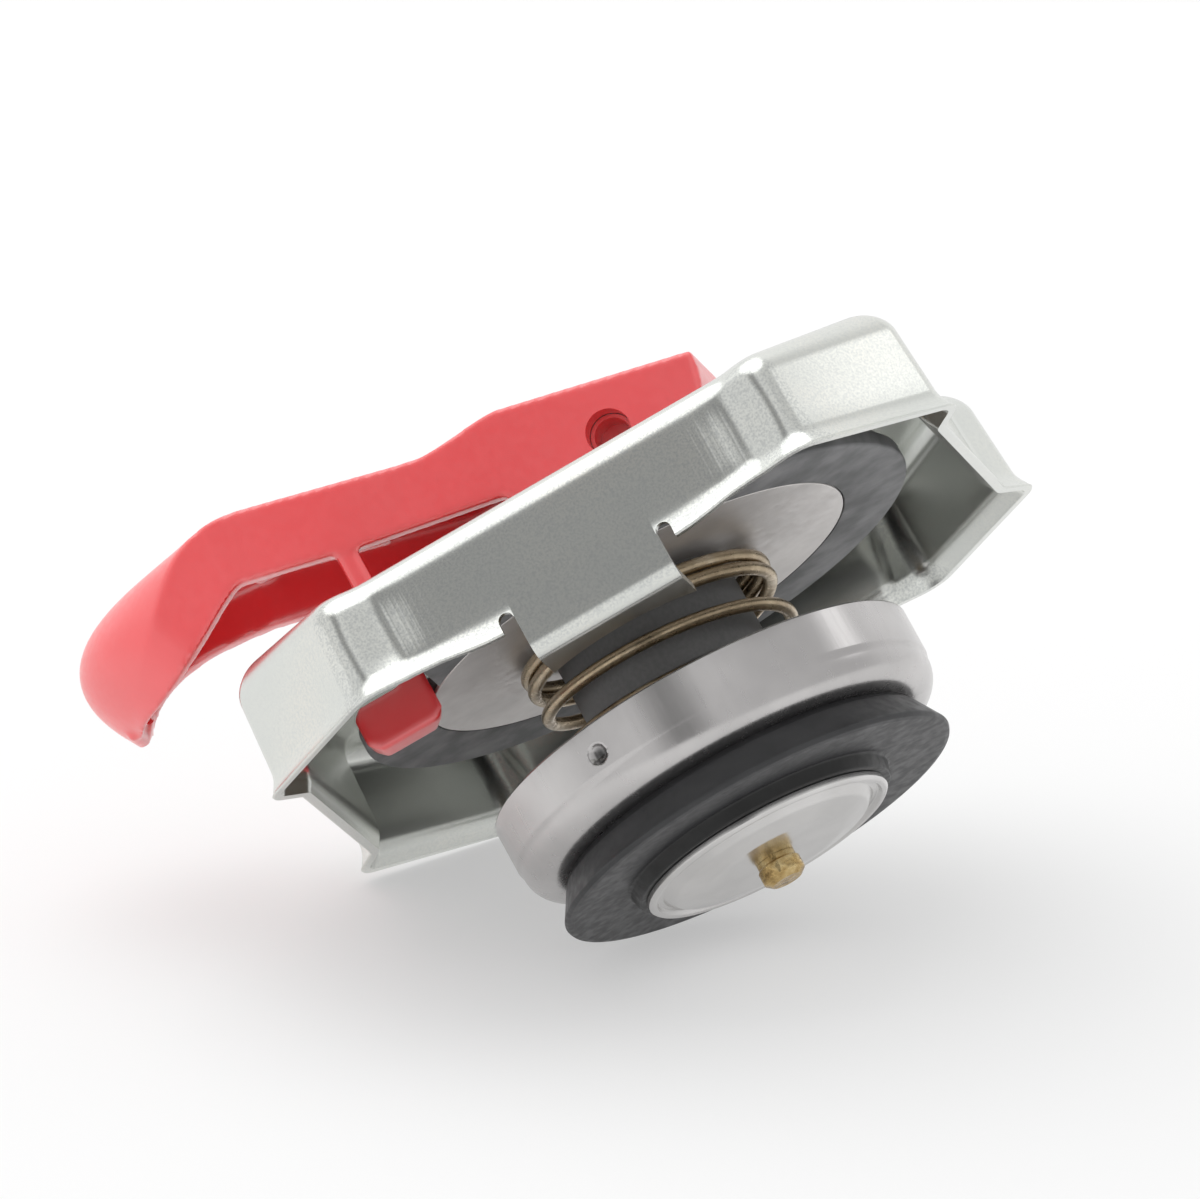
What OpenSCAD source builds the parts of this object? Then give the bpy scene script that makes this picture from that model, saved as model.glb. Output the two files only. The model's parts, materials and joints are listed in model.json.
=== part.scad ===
// Lever-vent pressure cap for a radiator filler neck.
// Z runs up the cap's axis, X runs along the lever with its finger end at -X,
// and the origin lies on the axis in the seat plane, the underside of the neck gasket.

/* [Shell] */
// Sheet thickness of the drawn shell
sheet = 0.9; // [0.7:0.1:1.2]
// Height of the shell's top face above the seat plane
top_z = 7.2; // [6.8:0.1:9]
// Depth of the skirt's rim below the seat plane
rim_depth = 3.7; // [3:0.1:4.5]
// Outside radius of the fold between top and skirt
fold_r = 3; // [2.4:0.1:3.4]
// Rise of the top towards its two ends
end_rise = 1.3; // [0:0.1:2]
// Outward flare of the rim
rim_flare = 1.0; // [0.5:0.1:1.4]
// Extra depth of the rim beside the cam fingers
rim_dip = 1; // [0:0.1:1.2]
// Half the distance across the two flats that carry the cam fingers
flat_y = 32.6; // [32:0.1:34]
// Half the length of each flat
flat_half = 18.5; // [16:0.5:20]
// Ridge at the end of each flat, along X
ridge_x = 22.8; // [22:0.1:24]
// Ridge at the end of each flat, along Y
ridge_y = 34; // [33.6:0.1:35]
// Grip tip, along X
tip_x = 35.5; // [34.5:0.1:36.5]
// Grip tip, along Y
tip_y = 19.9; // [19:0.1:21]
// Recessed end wall, along X
end_x = 33.1; // [32.4:0.1:34]
// Half the length of each end wall
end_y = 15.6; // [14:0.1:16.5]

/* [Cam fingers] */
// Width of each cam finger
finger_w = 15; // [14:0.5:16]
// Depth of the fingers' underside below the seat plane
finger_depth = 7.7; // [7.4:0.1:9]
// Inside radius of the finger's bend
finger_bend = 1.2; // [1:0.1:1.8]
// Distance from the axis to the middle of the finger's hollow inner edge
finger_reach = 26.7; // [26:0.1:28]
// Width of the relief slot beside each finger
finger_relief = 1.5; // [1:0.1:1.8]

/* [Neck seal] */
// Outside radius of the neck gasket
gasket_r = 28.2; // [26:0.1:29]
// Thickness of the neck gasket
gasket_t = 1.6; // [1.2:0.1:2]
// Outside radius of the diaphragm disc
disc_r = 21.5; // [20:0.1:23]
// Thickness of the diaphragm disc
disc_t = 0.4; // [0.3:0.05:0.6]
// Sheet thickness of the dished backing plate
backing_t = 0.9; // [0.7:0.1:1.1]

/* [Guide] */
// Outside radius of the spring guide sleeve
sleeve_r = 9.2; // [8.8:0.1:9.6]
// Wall of the spring guide sleeve
sleeve_t = 0.8; // [0.6:0.1:0.9]
// Length of the spring guide sleeve
sleeve_l = 9.2; // [8.5:0.1:9.3]
// Radius of the lift stem
stem_r = 2.5; // [2.2:0.1:2.8]
// Running gap between the stem and its bush
stem_gap = 0.05; // [0.03:0.01:0.1]
// Section radius of the stem's sealing ring
seal_ring_r = 0.75; // [0.6:0.05:0.9]

/* [Lever] */
// Width over the lever's side walls
lever_w = 22; // [20:0.5:24]
// Thickness of the lever's side walls
wall_t = 2.2; // [1.8:0.1:2.4]
// Thickness of the lever's top
roof_t = 1.8; // [1.5:0.1:2]
// Distance of the pivot pin from the cap's axis
pin_x = 6.4; // [5.5:0.1:7]
// Height of the pivot pin above the shell's top
pin_rise = 5.8; // [5.4:0.1:6.2]
// Radius of the pivot pin
pin_r = 2.1; // [1.6:0.1:2.2]
// Distance from the pin to the lever's heel end
heel_l = 10.2; // [9.6:0.1:10.6]
// Running gap between the heel and the shell
heel_gap = 0.1; // [0.05:0.05:0.2]
// Length of the locking foot below the seat plane
foot_depth = 2.4; // [1.5:0.1:2.5]

/* [Pressure valve] */
// Outside radius of the valve cup
cup_r = 21.35; // [20.8:0.05:21.6]
// Depth of the cup's rim below the seat plane
cup_top = 12.4; // [12:0.1:12.8]
// Height of the valve cup
cup_h = 7.9; // [7.4:0.1:8.6]
// Sheet thickness of the valve cup
cup_t = 0.7; // [0.5:0.1:0.9]
// Outside radius of the rubber valve seal
seal_r = 20; // [19.5:0.1:20.6]
// Mean radius of the pressure spring
spring_r = 12.1; // [11.6:0.1:13]
// Wire diameter of the pressure spring
spring_wire = 1.3; // [1:0.05:1.4]
// Travel of the pressure valve
relief_travel = 2; // [1:0.1:2]

/* [Vacuum valve] */
// Outside radius of the vacuum plate
vac_r = 12.4; // [11.5:0.1:13]
// Radius of the brass vacuum stem
vac_stem_r = 1.7; // [1.4:0.1:1.9]
// Travel of the vacuum valve
vac_travel = 1.5; // [1:0.1:1.7]
// Wire diameter of the vacuum spring
vac_wire = 0.45; // [0.35:0.05:0.5]

/* [Hidden] */
$fn = 64;

// Finishes
zinc = [0.78, 0.79, 0.76];
bright_steel = [0.80, 0.79, 0.78];
dark_steel = [0.42, 0.42, 0.43];
black_nylon = [0.11, 0.11, 0.12];
grey_rubber = [0.36, 0.36, 0.37];
black_rubber = [0.13, 0.13, 0.14];
red_nylon = [0.83, 0.10, 0.13];
spring_tan = [0.55, 0.46, 0.33];
brass = [0.78, 0.60, 0.28];

// Small common values
seat_gap = 0.1;
rivet_gap = 0.06;
slide_gap = 0.4;

// Heights that several pieces share
inner_top = top_z - sheet;
pin_z = top_z + pin_rise;
sleeve_top = 0;
spring_top = 0;
heel_drop = pin_rise - heel_gap;
lift_per_rad = (heel_l - heel_drop) / (PI / 2);
lift_travel = heel_l - heel_drop;
plate_t = 0.9;
plate_top = -(cup_top + 0.7);
plate_bottom = plate_top - plate_t;
collar_t = 0.9;
collar_top = plate_bottom - seat_gap;
collar_bottom = collar_top - collar_t;
stem_head = 0.7;
cup_bottom = -(cup_top + cup_h);
cup_floor = cup_bottom + cup_t;

// Points and directions in a plane
function unit(v) = v / norm(v);
function turn(a, b, c) = (b.x - a.x) * (c.y - b.y) - (b.y - a.y) * (c.x - b.x);
function left_of(v) = [-v.y, v.x];

// A corner's vertex moved inwards so that both its walls move by d
function inset_vertex(a, b, c, d) =
    let (u = unit(b - a), w = unit(c - b), bisector = left_of(u) + left_of(w))
    b + bisector * d / (1 + u * w);

// Arc of radius r that rounds the corner b between its neighbours a and c; a point along a straight stays
function corner_arc(a, b, c, r, steps) = abs(turn(a, b, c)) < 0.000001 ? [b] :
    let (
        u = unit(a - b),
        w = unit(c - b),
        half = acos(u * w) / 2,
        centre = b + unit(u + w) * r / sin(half),
        from = b + u * r / tan(half) - centre,
        to = b + w * r / tan(half) - centre,
        sweep = 180 - 2 * half,
        side = turn(a, b, c) > 0 ? 1 : -1,
        start = atan2(from.y, from.x)
    )
    [for (i = [0:steps]) centre + r * [cos(start + side * sweep * i / steps), sin(start + side * sweep * i / steps)]];

// Faces between rings of n points that follow each other in one list; a closed run ends at its first ring
function tube_faces(rings, n, closed = false) = [
    for (r = [0:rings - (closed ? 1 : 2)], i = [0:n - 1])
        let (j = (i + 1) % n, here = r * n, next = (r + 1) % rings * n)
        for (f = [[here + i, next + j, here + j], [here + i, next + i, next + j]])
            f
];

// Solid of revolution from half a section
module turned(section) {
    rotate_extrude($fn = 96) polygon(section);
}

// Round wire swept along a coil: turns is a list of [turns, rise] stretches
function coil_at(stretches, t, i = 0, z = 0) =
    i >= len(stretches) || t <= stretches[i][0]
        ? z + (i >= len(stretches) ? 0 : stretches[i][1] * t / stretches[i][0])
        : coil_at(stretches, t - stretches[i][0], i + 1, z + stretches[i][1]);
function total_turns(stretches, i = 0) = i >= len(stretches) ? 0 : stretches[i][0] + total_turns(stretches, i + 1);

module coil(radius, wire, stretches, start, per_turn, sides) {
    count = ceil(total_turns(stretches) * per_turn);
    points = [
        for (k = [0:count])
            let (
                t = total_turns(stretches) * k / count,
                a = start + 360 * t,
                z = coil_at(stretches, t)
            )
            for (s = [0:sides - 1])
                let (b = 360 * s / sides, r = radius + wire / 2 * cos(b))
                [r * cos(a), r * sin(a), z + wire / 2 * sin(b)]
    ];
    first = [for (s = [sides - 1:-1:0]) s];
    last = [for (s = [0:sides - 1]) count * sides + s];
    polyhedron(points, concat([first, last], [for (f = tube_faces(count + 1, sides)) [f[0], f[2], f[1]]]), convexity = 8);
}

// Plan of the shell: vertices of one quarter with their corner radii, repeated by symmetry
dip_from = finger_w / 2 + finger_relief;
dip_to = 18;
quarter = [
    [[dip_from + 0.3, -flat_y], 0],
    [[(dip_from + dip_to) / 2, -flat_y], 0],
    [[flat_half, -flat_y], 4],
    [[ridge_x, -ridge_y], 2.6],
    [[tip_x, -tip_y], 1.8],
    [[end_x, -end_y], 2.6]
];
last_corner = len(quarter) - 1;
plan = concat(
    quarter,
    [for (i = [last_corner:-1:0]) [[quarter[i][0].x, -quarter[i][0].y], quarter[i][1]]],
    [for (q = quarter) [-q[0], q[1]]],
    [for (i = [last_corner:-1:0]) [[-quarter[i][0].x, quarter[i][0].y], quarter[i][1]]]
);
plan_n = len(plan);
arc_steps = 4;
crown_r = 2.4;

// Height of a point of the skirt or fold: the sheet is drawn higher towards the two ends,
// and the rim hangs lower beside the cam fingers
dip_fade = 2;
rise_from = 19;
rise_to = 33;
function smooth(t) = let (u = min(1, max(0, t))) u * u * (3 - 2 * u);
function raised(x, z) =
    z + end_rise * smooth((abs(x) - rise_from) / (rise_to - rise_from)) * (z + rim_depth) / (top_z + rim_depth)
    - rim_dip * (1 - smooth((abs(x) - dip_from) / (dip_to - dip_from))) * max(0, 1 - (z + rim_depth) / dip_fade);

// Radius of a corner at an inset: outward corners round off towards the top
function corner_radius(r, inset, convex) =
    convex ? max(r - inset, min(crown_r, r + inset / 2)) : r + inset;

// Plan at an inset, as one ring of points at height z
function plan_ring(inset, z) =
    let (moved = [
        for (i = [0:plan_n - 1])
            inset_vertex(plan[(i + plan_n - 1) % plan_n][0], plan[i][0], plan[(i + 1) % plan_n][0], inset)
    ])
    [
        for (i = [0:plan_n - 1])
            let (
                a = moved[(i + plan_n - 1) % plan_n],
                b = moved[i],
                c = moved[(i + 1) % plan_n],
                r = corner_radius(plan[i][1], inset, turn(a, b, c) > 0)
            )
            for (p = corner_arc(a, b, c, r, arc_steps))
                [p.x, p.y, raised(p.x, z)]
    ];

draft = 0.35;
fold_steps = 6;
// Profile of the skirt and fold as [inset, height], from the rim up, at a depth into the sheet
function skirt_profile(depth) = concat(
    [
        [depth - rim_flare, -rim_depth],
        [depth - rim_flare * 0.8, -rim_depth + 0.6],
        [depth - rim_flare * 0.3, -rim_depth + 1.2],
        [depth, -rim_depth + 2]
    ],
    [
        for (i = [0:fold_steps])
            let (a = 90 * i / fold_steps, r = fold_r - depth)
            [draft + fold_r - r * cos(a), top_z - fold_r + r * sin(a)]
    ]
);

// Rings of the flat part of the top: its outer edge between the rising ends, and one near the axis
function level_ring(z) = [
    for (p = plan_ring(draft + fold_r, z))
        let (k = min(0.97, rise_from / abs(p.x)))
        [p.x * k, p.y * k, z]
];
function centre_ring(z) = [
    for (p = plan_ring(draft + fold_r, z))
        let (u = unit([p.x, p.y]) * bush_r / 2)
        [u.x, u.y, z]
];

module drawn_pan() {
    outer = skirt_profile(0);
    inner = skirt_profile(sheet);
    profile = concat([for (i = [len(inner) - 1:-1:0]) inner[i]], outer);
    rings = concat(
        [centre_ring(inner_top), level_ring(inner_top)],
        [for (p = profile) plan_ring(p[0], p[1])],
        [level_ring(top_z), centre_ring(top_z)]
    );
    n = len(rings[0]);
    polyhedron([for (r = rings) each r], tube_faces(len(rings), n, true), convexity = 8);
}

// Heights above the rim where the relief slots end and where the finger's wall leaves the skirt
relief_h = 0.95;
notch_h = 2.35;
// Radius of the finger's hollow inner edge
edge_r = 12;

// Cam finger on the -Y flat: a tab of the skirt bent in under the neck's cam
module cam_finger() difference() {
    outer_r = finger_bend + sheet;
    bend_z = -finger_depth + outer_r;
    wall_y = -flat_y + 0.05;
    bend_y = wall_y + outer_r;
    wall_top = -rim_depth + notch_h + 0.8;
    edge_y = -finger_reach + edge_r;
    corner_y = edge_y - sqrt(edge_r ^ 2 - finger_w ^ 2 / 4);
    union() {
        translate([-finger_w / 2, wall_y, bend_z]) cube([finger_w, sheet, wall_top - bend_z]);
        intersection() {
            translate([-finger_w / 2, bend_y, bend_z]) rotate([0, 90, 0]) difference() {
                cylinder(r = outer_r, h = finger_w);
                translate([0, 0, -1]) cylinder(r = finger_bend, h = finger_w + 2);
            }
            translate([-finger_w / 2 - 1, wall_y - 1, -finger_depth - 1])
                cube([finger_w + 2, outer_r + 1, outer_r + 1]);
        }
        translate([-finger_w / 2, bend_y, -finger_depth]) cube([finger_w, corner_y - bend_y, sheet]);
    }
    translate([0, edge_y, -finger_depth - 1]) cylinder(r = edge_r, h = sheet + 2);
}

// Room cut in the -Y flat for the finger, with a round-ended relief slot at each side
module finger_room() {
    low = -rim_depth - rim_dip - 1;
    slot_r = finger_relief / 2;
    slot_z = -rim_depth + relief_h - slot_r;
    translate([0.05 - finger_w / 2, -flat_y - 3, low]) cube([finger_w - 0.1, 6, notch_h - rim_depth - low]);
    for (side = [-1, 1])
        translate([side * (finger_w + finger_relief) / 2, -flat_y + 3, slot_z]) {
            rotate([90, 0, 0]) cylinder(r = slot_r, h = 6, $fn = 24);
            translate([side > 0 ? -slot_r - 1 : -slot_r, -6, low - slot_z]) cube([finger_relief + 1, 6, slot_z - low]);
        }
}

// Locking foot: where it passes the shell's top and the gasket
foot_near = 0.2 - lever_w / 2;
foot_far = foot_near + 3.8;
foot_in = -19;
foot_out = -27;
foot_room = 0.5;
slot_in = -18.2;
slot_out = -29.9;

module cap_shell() color(zinc) {
    difference() {
        drawn_pan();
        translate([0, 0, inner_top - 1]) cylinder(r = bush_r + rivet_gap, h = sheet + 2);
        translate([slot_out, foot_near - foot_room, inner_top - 1])
            cube([slot_in - slot_out, foot_far - foot_near + 2 * foot_room, sheet + end_rise + 2]);
        for (side = [0, 180])
            rotate([0, 0, side]) finger_room();
    }
    for (side = [0, 180])
        rotate([0, 0, side]) cam_finger();
}

// Bush that clamps the seal stack under the shell and guides the stem
bush_r = 4.6;
bush_shoulder_r = 7;
bush_bore = stem_r + stem_gap;
bush_head_t = 0.6;
bush_head_r = bush_r + 0.9;
sleeve_base_t = 0.8;
bush_flange_top = sleeve_top - sleeve_base_t;
bush_flange_bottom = bush_flange_top - 0.8;
groove_z = 2.6;
groove_h = 2 * seal_ring_r + 0.2;
groove_r = bush_bore + 2 * seal_ring_r + 0.05;
backing_top = inner_top;
backing_under = backing_top - backing_t;

module centre_bush() color(bright_steel) turned([
    [bush_bore, bush_flange_bottom], [sleeve_r - sleeve_t - 0.3, bush_flange_bottom],
    [sleeve_r - sleeve_t - 0.3, bush_flange_top], [bush_r, bush_flange_top], [bush_r, disc_t],
    [bush_shoulder_r, disc_t], [bush_shoulder_r, backing_under], [bush_r, backing_under], [bush_r, top_z],
    [bush_head_r, top_z], [bush_head_r, top_z + bush_head_t], [bush_bore, top_z + bush_head_t],
    [bush_bore, groove_z + groove_h], [groove_r, groove_z + groove_h], [groove_r, groove_z], [bush_bore, groove_z]
]);

module stem_ring() color(black_rubber)
    translate([0, 0, groove_z + groove_h / 2])
        rotate_extrude() translate([bush_bore + seal_ring_r, 0]) circle(r = seal_ring_r, $fn = 24);

// Dished plate that carries the gasket below the shell
dish_in = 11;
dish_out = 16;
module backing_plate() color(dark_steel) difference() {
    turned([
        [bush_r, backing_under], [dish_in, backing_under], [dish_out, gasket_t], [gasket_r - 0.8, gasket_t],
        [gasket_r - 0.8, gasket_t + backing_t], [dish_out + backing_t * 0.4, gasket_t + backing_t],
        [dish_in + backing_t * 0.4, backing_top], [bush_r, backing_top]
    ]);
    foot_notch(gasket_t - 1, backing_t + 2);
}

// The seal stack is cut away from the foot to the edge, on the foot's near side
module foot_notch(z, h) {
    notch = gasket_r + 2;
    translate([-notch, -notch, z]) cube([foot_in + foot_room + notch, foot_far + foot_room + notch, h]);
}

gasket_in = 13;
disc_gap = 0.1;
module neck_gasket() color(grey_rubber) difference() {
    turned([
        [gasket_in, disc_t], [disc_r + disc_gap, disc_t], [disc_r + disc_gap, 0], [gasket_r - 0.3, 0],
        [gasket_r, 0.3], [gasket_r, gasket_t], [gasket_in, gasket_t]
    ]);
    foot_notch(-1, gasket_t + 2);
}

module diaphragm_disc() color(bright_steel)
    turned([[bush_r, 0], [disc_r, 0], [disc_r, disc_t], [bush_r, disc_t]]);

module guide_sleeve() color(black_nylon) turned([
    [bush_r, sleeve_top], [sleeve_r, sleeve_top], [sleeve_r, sleeve_top - sleeve_l],
    [sleeve_r - sleeve_t, sleeve_top - sleeve_l], [sleeve_r - sleeve_t, bush_flange_top], [bush_r, bush_flange_top]
]);

// Lift stem, its yoke and its collar
yoke_t = 1;
yoke_base = top_z + bush_head_t + 0.3;
yoke_half = lever_w / 2 - wall_t - 1;
ear_r = pin_r + 0.9;
ear_front = pin_x + 0.8;
yoke_back = -4.6;
rivet_r = stem_r + 0.9;
neck_r = stem_r - 0.6;

module lift_stem() color(bright_steel) turned([
    [0, collar_bottom - stem_head], [rivet_r, collar_bottom - stem_head], [rivet_r, collar_bottom],
    [neck_r, collar_bottom], [neck_r, collar_top], [stem_r, collar_top], [stem_r, yoke_base],
    [neck_r, yoke_base], [neck_r, yoke_base + yoke_t], [rivet_r, yoke_base + yoke_t],
    [rivet_r, yoke_base + yoke_t + stem_head], [0, yoke_base + yoke_t + stem_head]
]);

module lift_yoke() color(bright_steel) difference() {
    union() {
        translate([yoke_back, -yoke_half, yoke_base]) cube([ear_front - yoke_back, 2 * yoke_half, yoke_t]);
        for (side = [-1, 1])
            translate([0, side * (yoke_half - yoke_t / 2), 0]) yoke_ear();
    }
    translate([0, 0, yoke_base - 1]) cylinder(r = neck_r, h = yoke_t + 2);
    translate([pin_x, yoke_half + 1, pin_z]) rotate([90, 0, 0]) cylinder(r = pin_r, h = 2 * yoke_half + 2);
}

module yoke_ear() {
    translate([pin_x, yoke_t / 2, pin_z]) rotate([90, 0, 0]) cylinder(r = ear_r, h = yoke_t);
    translate([pin_x - ear_r, -yoke_t / 2, yoke_base]) cube([ear_front - pin_x + ear_r, yoke_t, pin_z - yoke_base]);
}

module lift_collar() color(bright_steel)
    turned([[neck_r, collar_bottom], [sleeve_r + 2.4, collar_bottom], [sleeve_r + 2.4, collar_top], [neck_r, collar_top]]);

// Lever: a channel with a cam heel, a bored pivot, a locking foot and a curled finger end
pin_end_gap = 1.2;
pin_gap = 0.06;
module lever_pin() color(red_nylon)
    translate([pin_x, lever_w / 2 - pin_end_gap, pin_z])
        rotate([90, 0, 0]) cylinder(r = pin_r, h = lever_w - 2 * pin_end_gap);

// Involute heel: it lifts the pin by the same amount for each degree that the lever turns
heel_steps = 12;
function heel_point(a) =
    let (drop = heel_drop + lift_per_rad * a * PI / 180)
    [pin_x + lift_per_rad * cos(a) + drop * sin(a), pin_z + lift_per_rad * sin(a) - drop * cos(a)];
heel = [for (i = [0:heel_steps]) heel_point(90 * i / heel_steps)];

roof = [
    [-1.9, 20.25], [-3.2, 20.3], [-6, 20.1], [-8.4, 19.9], [-10, 19.9], [-12.5, 20.45], [-27.6, 24.4], [-29.6, 24.65],
    [-31, 24.6]
];
skirt_edge = [[-31, 18.3], [-18.5, 15.35], [-5.2, 12.8], [-3.6, 11.4], [-2.6, pin_z - heel_drop]];
heel_wall = 2;

module lever_side() {
    polygon(concat(heel, roof, skirt_edge));
}

module channel_room() {
    start = heel[heel_steps];
    polygon(concat(
        [[start.x - heel_wall, 0], [start.x - heel_wall, start.y - roof_t]],
        [for (p = roof) p - [0, roof_t]],
        [[-40, 24.6 - roof_t], [-40, 0]]
    ));
}

module upright(width) {
    translate([0, width / 2, 0]) rotate([90, 0, 0]) linear_extrude(width) children();
}

// Finger end: the channel's section lofted along the middle and edge curves of the curl
function bezier(p, t) =
    (1 - t) ^ 3 * p[0] + 3 * t * (1 - t) ^ 2 * p[1] + 3 * t ^ 2 * (1 - t) * p[2] + t ^ 3 * p[3];
curl_middle = [[-28.6, 24.3], [-39.6, 27], [-54.4, 24.6], [-47, 12.9]];
near_edge = [[-28.6, 24.3], [-36, 26], [-39.3, 16.6], [-46.2, 13]];
near_lip = [[-28.6, 18.4], [-32.8, 18.6], [-37, 12.2], [-45.9, 12.4]];
far_edge = [[-28.6, 24.3], [-39, 26.4], [-47, 22], [-46.3, 13.2]];
far_lip = [[-28.6, 18.2], [-34, 18.2], [-44.5, 22], [-45.8, 12.7]];
curl_half = lever_w / 2 - 0.05;
curl_across = 8;
curl_steps = 14;
// Wall of the finger end, thinner at its tip
curl_wall = 2;
tip_wall = 0.8;
thin_from = 0.6;
// Half width of the curl along its length, rounded off at the tip
taper_from = 0.55;
function curl_width(t) = curl_half * sqrt(1 - 0.95 * max(0, (t - taper_from) / (1 - taper_from)) ^ 2);
function curl_t(t) = curl_wall + (tip_wall - curl_wall) * smooth((t - thin_from) / (1 - thin_from));
function curl_inward(t) = let (d = unit(bezier(curl_middle, t + 0.01) - bezier(curl_middle, t - 0.01))) left_of(d);
function curl_outer(t, v) =
    let (m = bezier(curl_middle, t), e = bezier(v < 0 ? near_edge : far_edge, t), p = e + (m - e) * (1 - v ^ 2))
    [p.x, v * curl_width(t), p.y];
function curl_inner(t, v) =
    let (p = curl_outer(t, v), d = curl_inward(t) * curl_t(t), y = curl_width(t) - curl_t(t))
    [p.x + d.x, sign(p.y) * min(abs(p.y), y), p.z + d.y];
function curl_side(t, y) = let (p = bezier(y < 0 ? near_lip : far_lip, t)) [p.x, y, p.y];
function curl_section(t) =
    let (v = [for (i = [0:curl_across]) -1 + 2 * i / curl_across], w = curl_width(t))
    concat(
        [curl_side(t, -w)],
        [for (a = v) curl_outer(t, a)],
        [curl_side(t, w), curl_side(t, w - curl_t(t))],
        [for (i = [curl_across:-1:0]) curl_inner(t, v[i])],
        [curl_side(t, curl_t(t) - w)]
    );

module finger_end() {
    rings = [for (i = [0:curl_steps]) curl_section(i / curl_steps)];
    n = len(rings[0]);
    half = n / 2 - 1;
    // Each end is closed by a strip between the section's outer and inner halves
    function cap_strip(at, flip) = [
        for (i = [0:half - 1])
            let (q = [at + i, at + i + 1, at + n - 2 - i, at + n - 1 - i])
            for (f = [[q[0], q[1], q[2]], [q[0], q[2], q[3]]])
                flip ? [f[0], f[2], f[1]] : f
    ];
    polyhedron(
        [for (r = rings) each r],
        concat(
            cap_strip(0, false),
            cap_strip(curl_steps * n, true),
            tube_faces(curl_steps + 1, n)
        ),
        convexity = 6
    );
}

// Locking foot: a post below the near wall with a hook at its end, kept clear of the diaphragm disc
post_t = 2.3;
hook_top = 2.2;
foot_clear = 0.4;
module locking_foot() difference() {
    foot_top = 17.2;
    foot_bottom = -foot_depth;
    post_out = foot_in - post_t;
    translate([0, foot_far, 0]) rotate([90, 0, 0]) linear_extrude(foot_far - foot_near) polygon([
        [foot_in, foot_top - 0.6], [foot_in, foot_bottom + 1], [foot_in - 1, foot_bottom],
        [foot_out + 1, foot_bottom], [foot_out, foot_bottom + 1], [foot_out, hook_top - 0.8],
        [foot_out + 0.8, hook_top], [post_out - 0.6, hook_top], [post_out, hook_top + 0.6], [post_out, foot_top]
    ]);
    translate([0, 0, foot_bottom - 1]) cylinder(r = disc_r + foot_clear, h = foot_top - foot_bottom + 2, $fn = 96);
}

// Stiffening rib under the lever's top
rib_t = 1.6;
rib_h = 2.7;
rib_from = 17;
rib_to = 30;
module stiffening_rib() intersection() {
    upright(rib_t) polygon(concat(
        [for (p = roof) p - [0, 0.1]],
        [for (i = [len(roof) - 1:-1:0]) roof[i] - [0, roof_t + rib_h]]
    ));
    translate([-rib_to, -rib_t, 0]) cube([rib_to - rib_from, 2 * rib_t, 40]);
}

module lever() color(red_nylon) difference() {
    union() {
        difference() {
            upright(lever_w) lever_side();
            upright(lever_w - 2 * wall_t) channel_room();
        }
        finger_end();
        locking_foot();
        stiffening_rib();
    }
    translate([pin_x, lever_w / 2 + 1, pin_z]) rotate([90, 0, 0]) cylinder(r = pin_r + pin_gap, h = lever_w + 2);
}

// Pressure spring between the diaphragm disc and the spring plate
spring_room = spring_top - plate_top;
closed_top = 2;
open_turns = 1.9;
closed_bottom = 0.8;
module pressure_spring() color(spring_tan)
    translate([0, 0, spring_top - spring_wire / 2]) coil(
        spring_r, spring_wire,
        [
            [closed_top, -closed_top * spring_wire * 1.06],
            [open_turns, -(spring_room - spring_wire - (closed_top + closed_bottom) * spring_wire * 1.06)],
            [closed_bottom, -closed_bottom * spring_wire * 1.06]
        ],
        20, 24, 8
    );

cup_in = cup_r - cup_t;
dimple_r = 1.2;
dimple_angles = [for (i = [0:2]) -112 + 120 * i];
module spring_plate() color(bright_steel) turned([
    [sleeve_r + slide_gap, plate_bottom], [cup_in - 0.05, plate_bottom],
    [cup_in - 0.05, plate_top], [sleeve_r + slide_gap, plate_top]
]);

corner_r = 2.1;
corner_steps = 6;
function cup_corner(r) = [
    for (i = [0:corner_steps])
        let (a = 90 * i / corner_steps)
        [cup_r - corner_r + r * cos(a), cup_bottom + corner_r - r * sin(a)]
];
retainer_r = 6;
module valve_cup() color(bright_steel) difference() {
    union() {
        turned(concat(
            [[cup_r, -cup_top]],
            cup_corner(corner_r),
            [[retainer_r + 0.05, cup_bottom], [retainer_r + 0.05, cup_floor]],
            [for (i = [corner_steps:-1:0]) cup_corner(corner_r - cup_t)[i]],
            [[cup_in, -cup_top]]
        ));
        intersection() {
            for (a = dimple_angles)
                rotate([0, 0, a]) translate([cup_in, 0, plate_bottom - dimple_r]) sphere(r = dimple_r, $fn = 24);
            turned([[0, plate_bottom], [cup_r - 0.1, plate_bottom], [cup_r - 0.1, cup_floor + 0.1], [0, cup_floor + 0.1]]);
        }
    }
    for (a = dimple_angles)
        rotate([0, 0, a])
            translate([cup_r + 0.25, 0, plate_bottom - dimple_r]) sphere(r = dimple_r - 0.3, $fn = 24);
}

// Rubber seal below the cup, with a boss that the vacuum plate closes
seal_neck = seal_r - 1.6;
seal_edge = cup_bottom - 3.3;
boss_r = vac_r + 0.6;
boss_depth = 5;
boss_face = cup_bottom - boss_depth;
bore_gap = 0.1;
recess_wall = 2.2;
recess_r = retainer_r + recess_wall;
retainer_depth = 2.9;
retainer_floor = cup_bottom - retainer_depth;
retainer_t = 0.7;
module valve_seal() color(black_rubber) turned([
    [retainer_r + bore_gap, cup_bottom], [seal_neck - 0.5, cup_bottom], [seal_neck, cup_bottom - 0.6],
    [seal_r, seal_edge], [seal_r - 0.25, seal_edge - 0.6], [seal_r - 0.9, seal_edge - 0.75],
    [boss_r + 0.7, seal_edge - 0.9], [boss_r, boss_face], [recess_r, boss_face],
    [recess_r, retainer_floor], [retainer_r + bore_gap, retainer_floor]
]);

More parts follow.
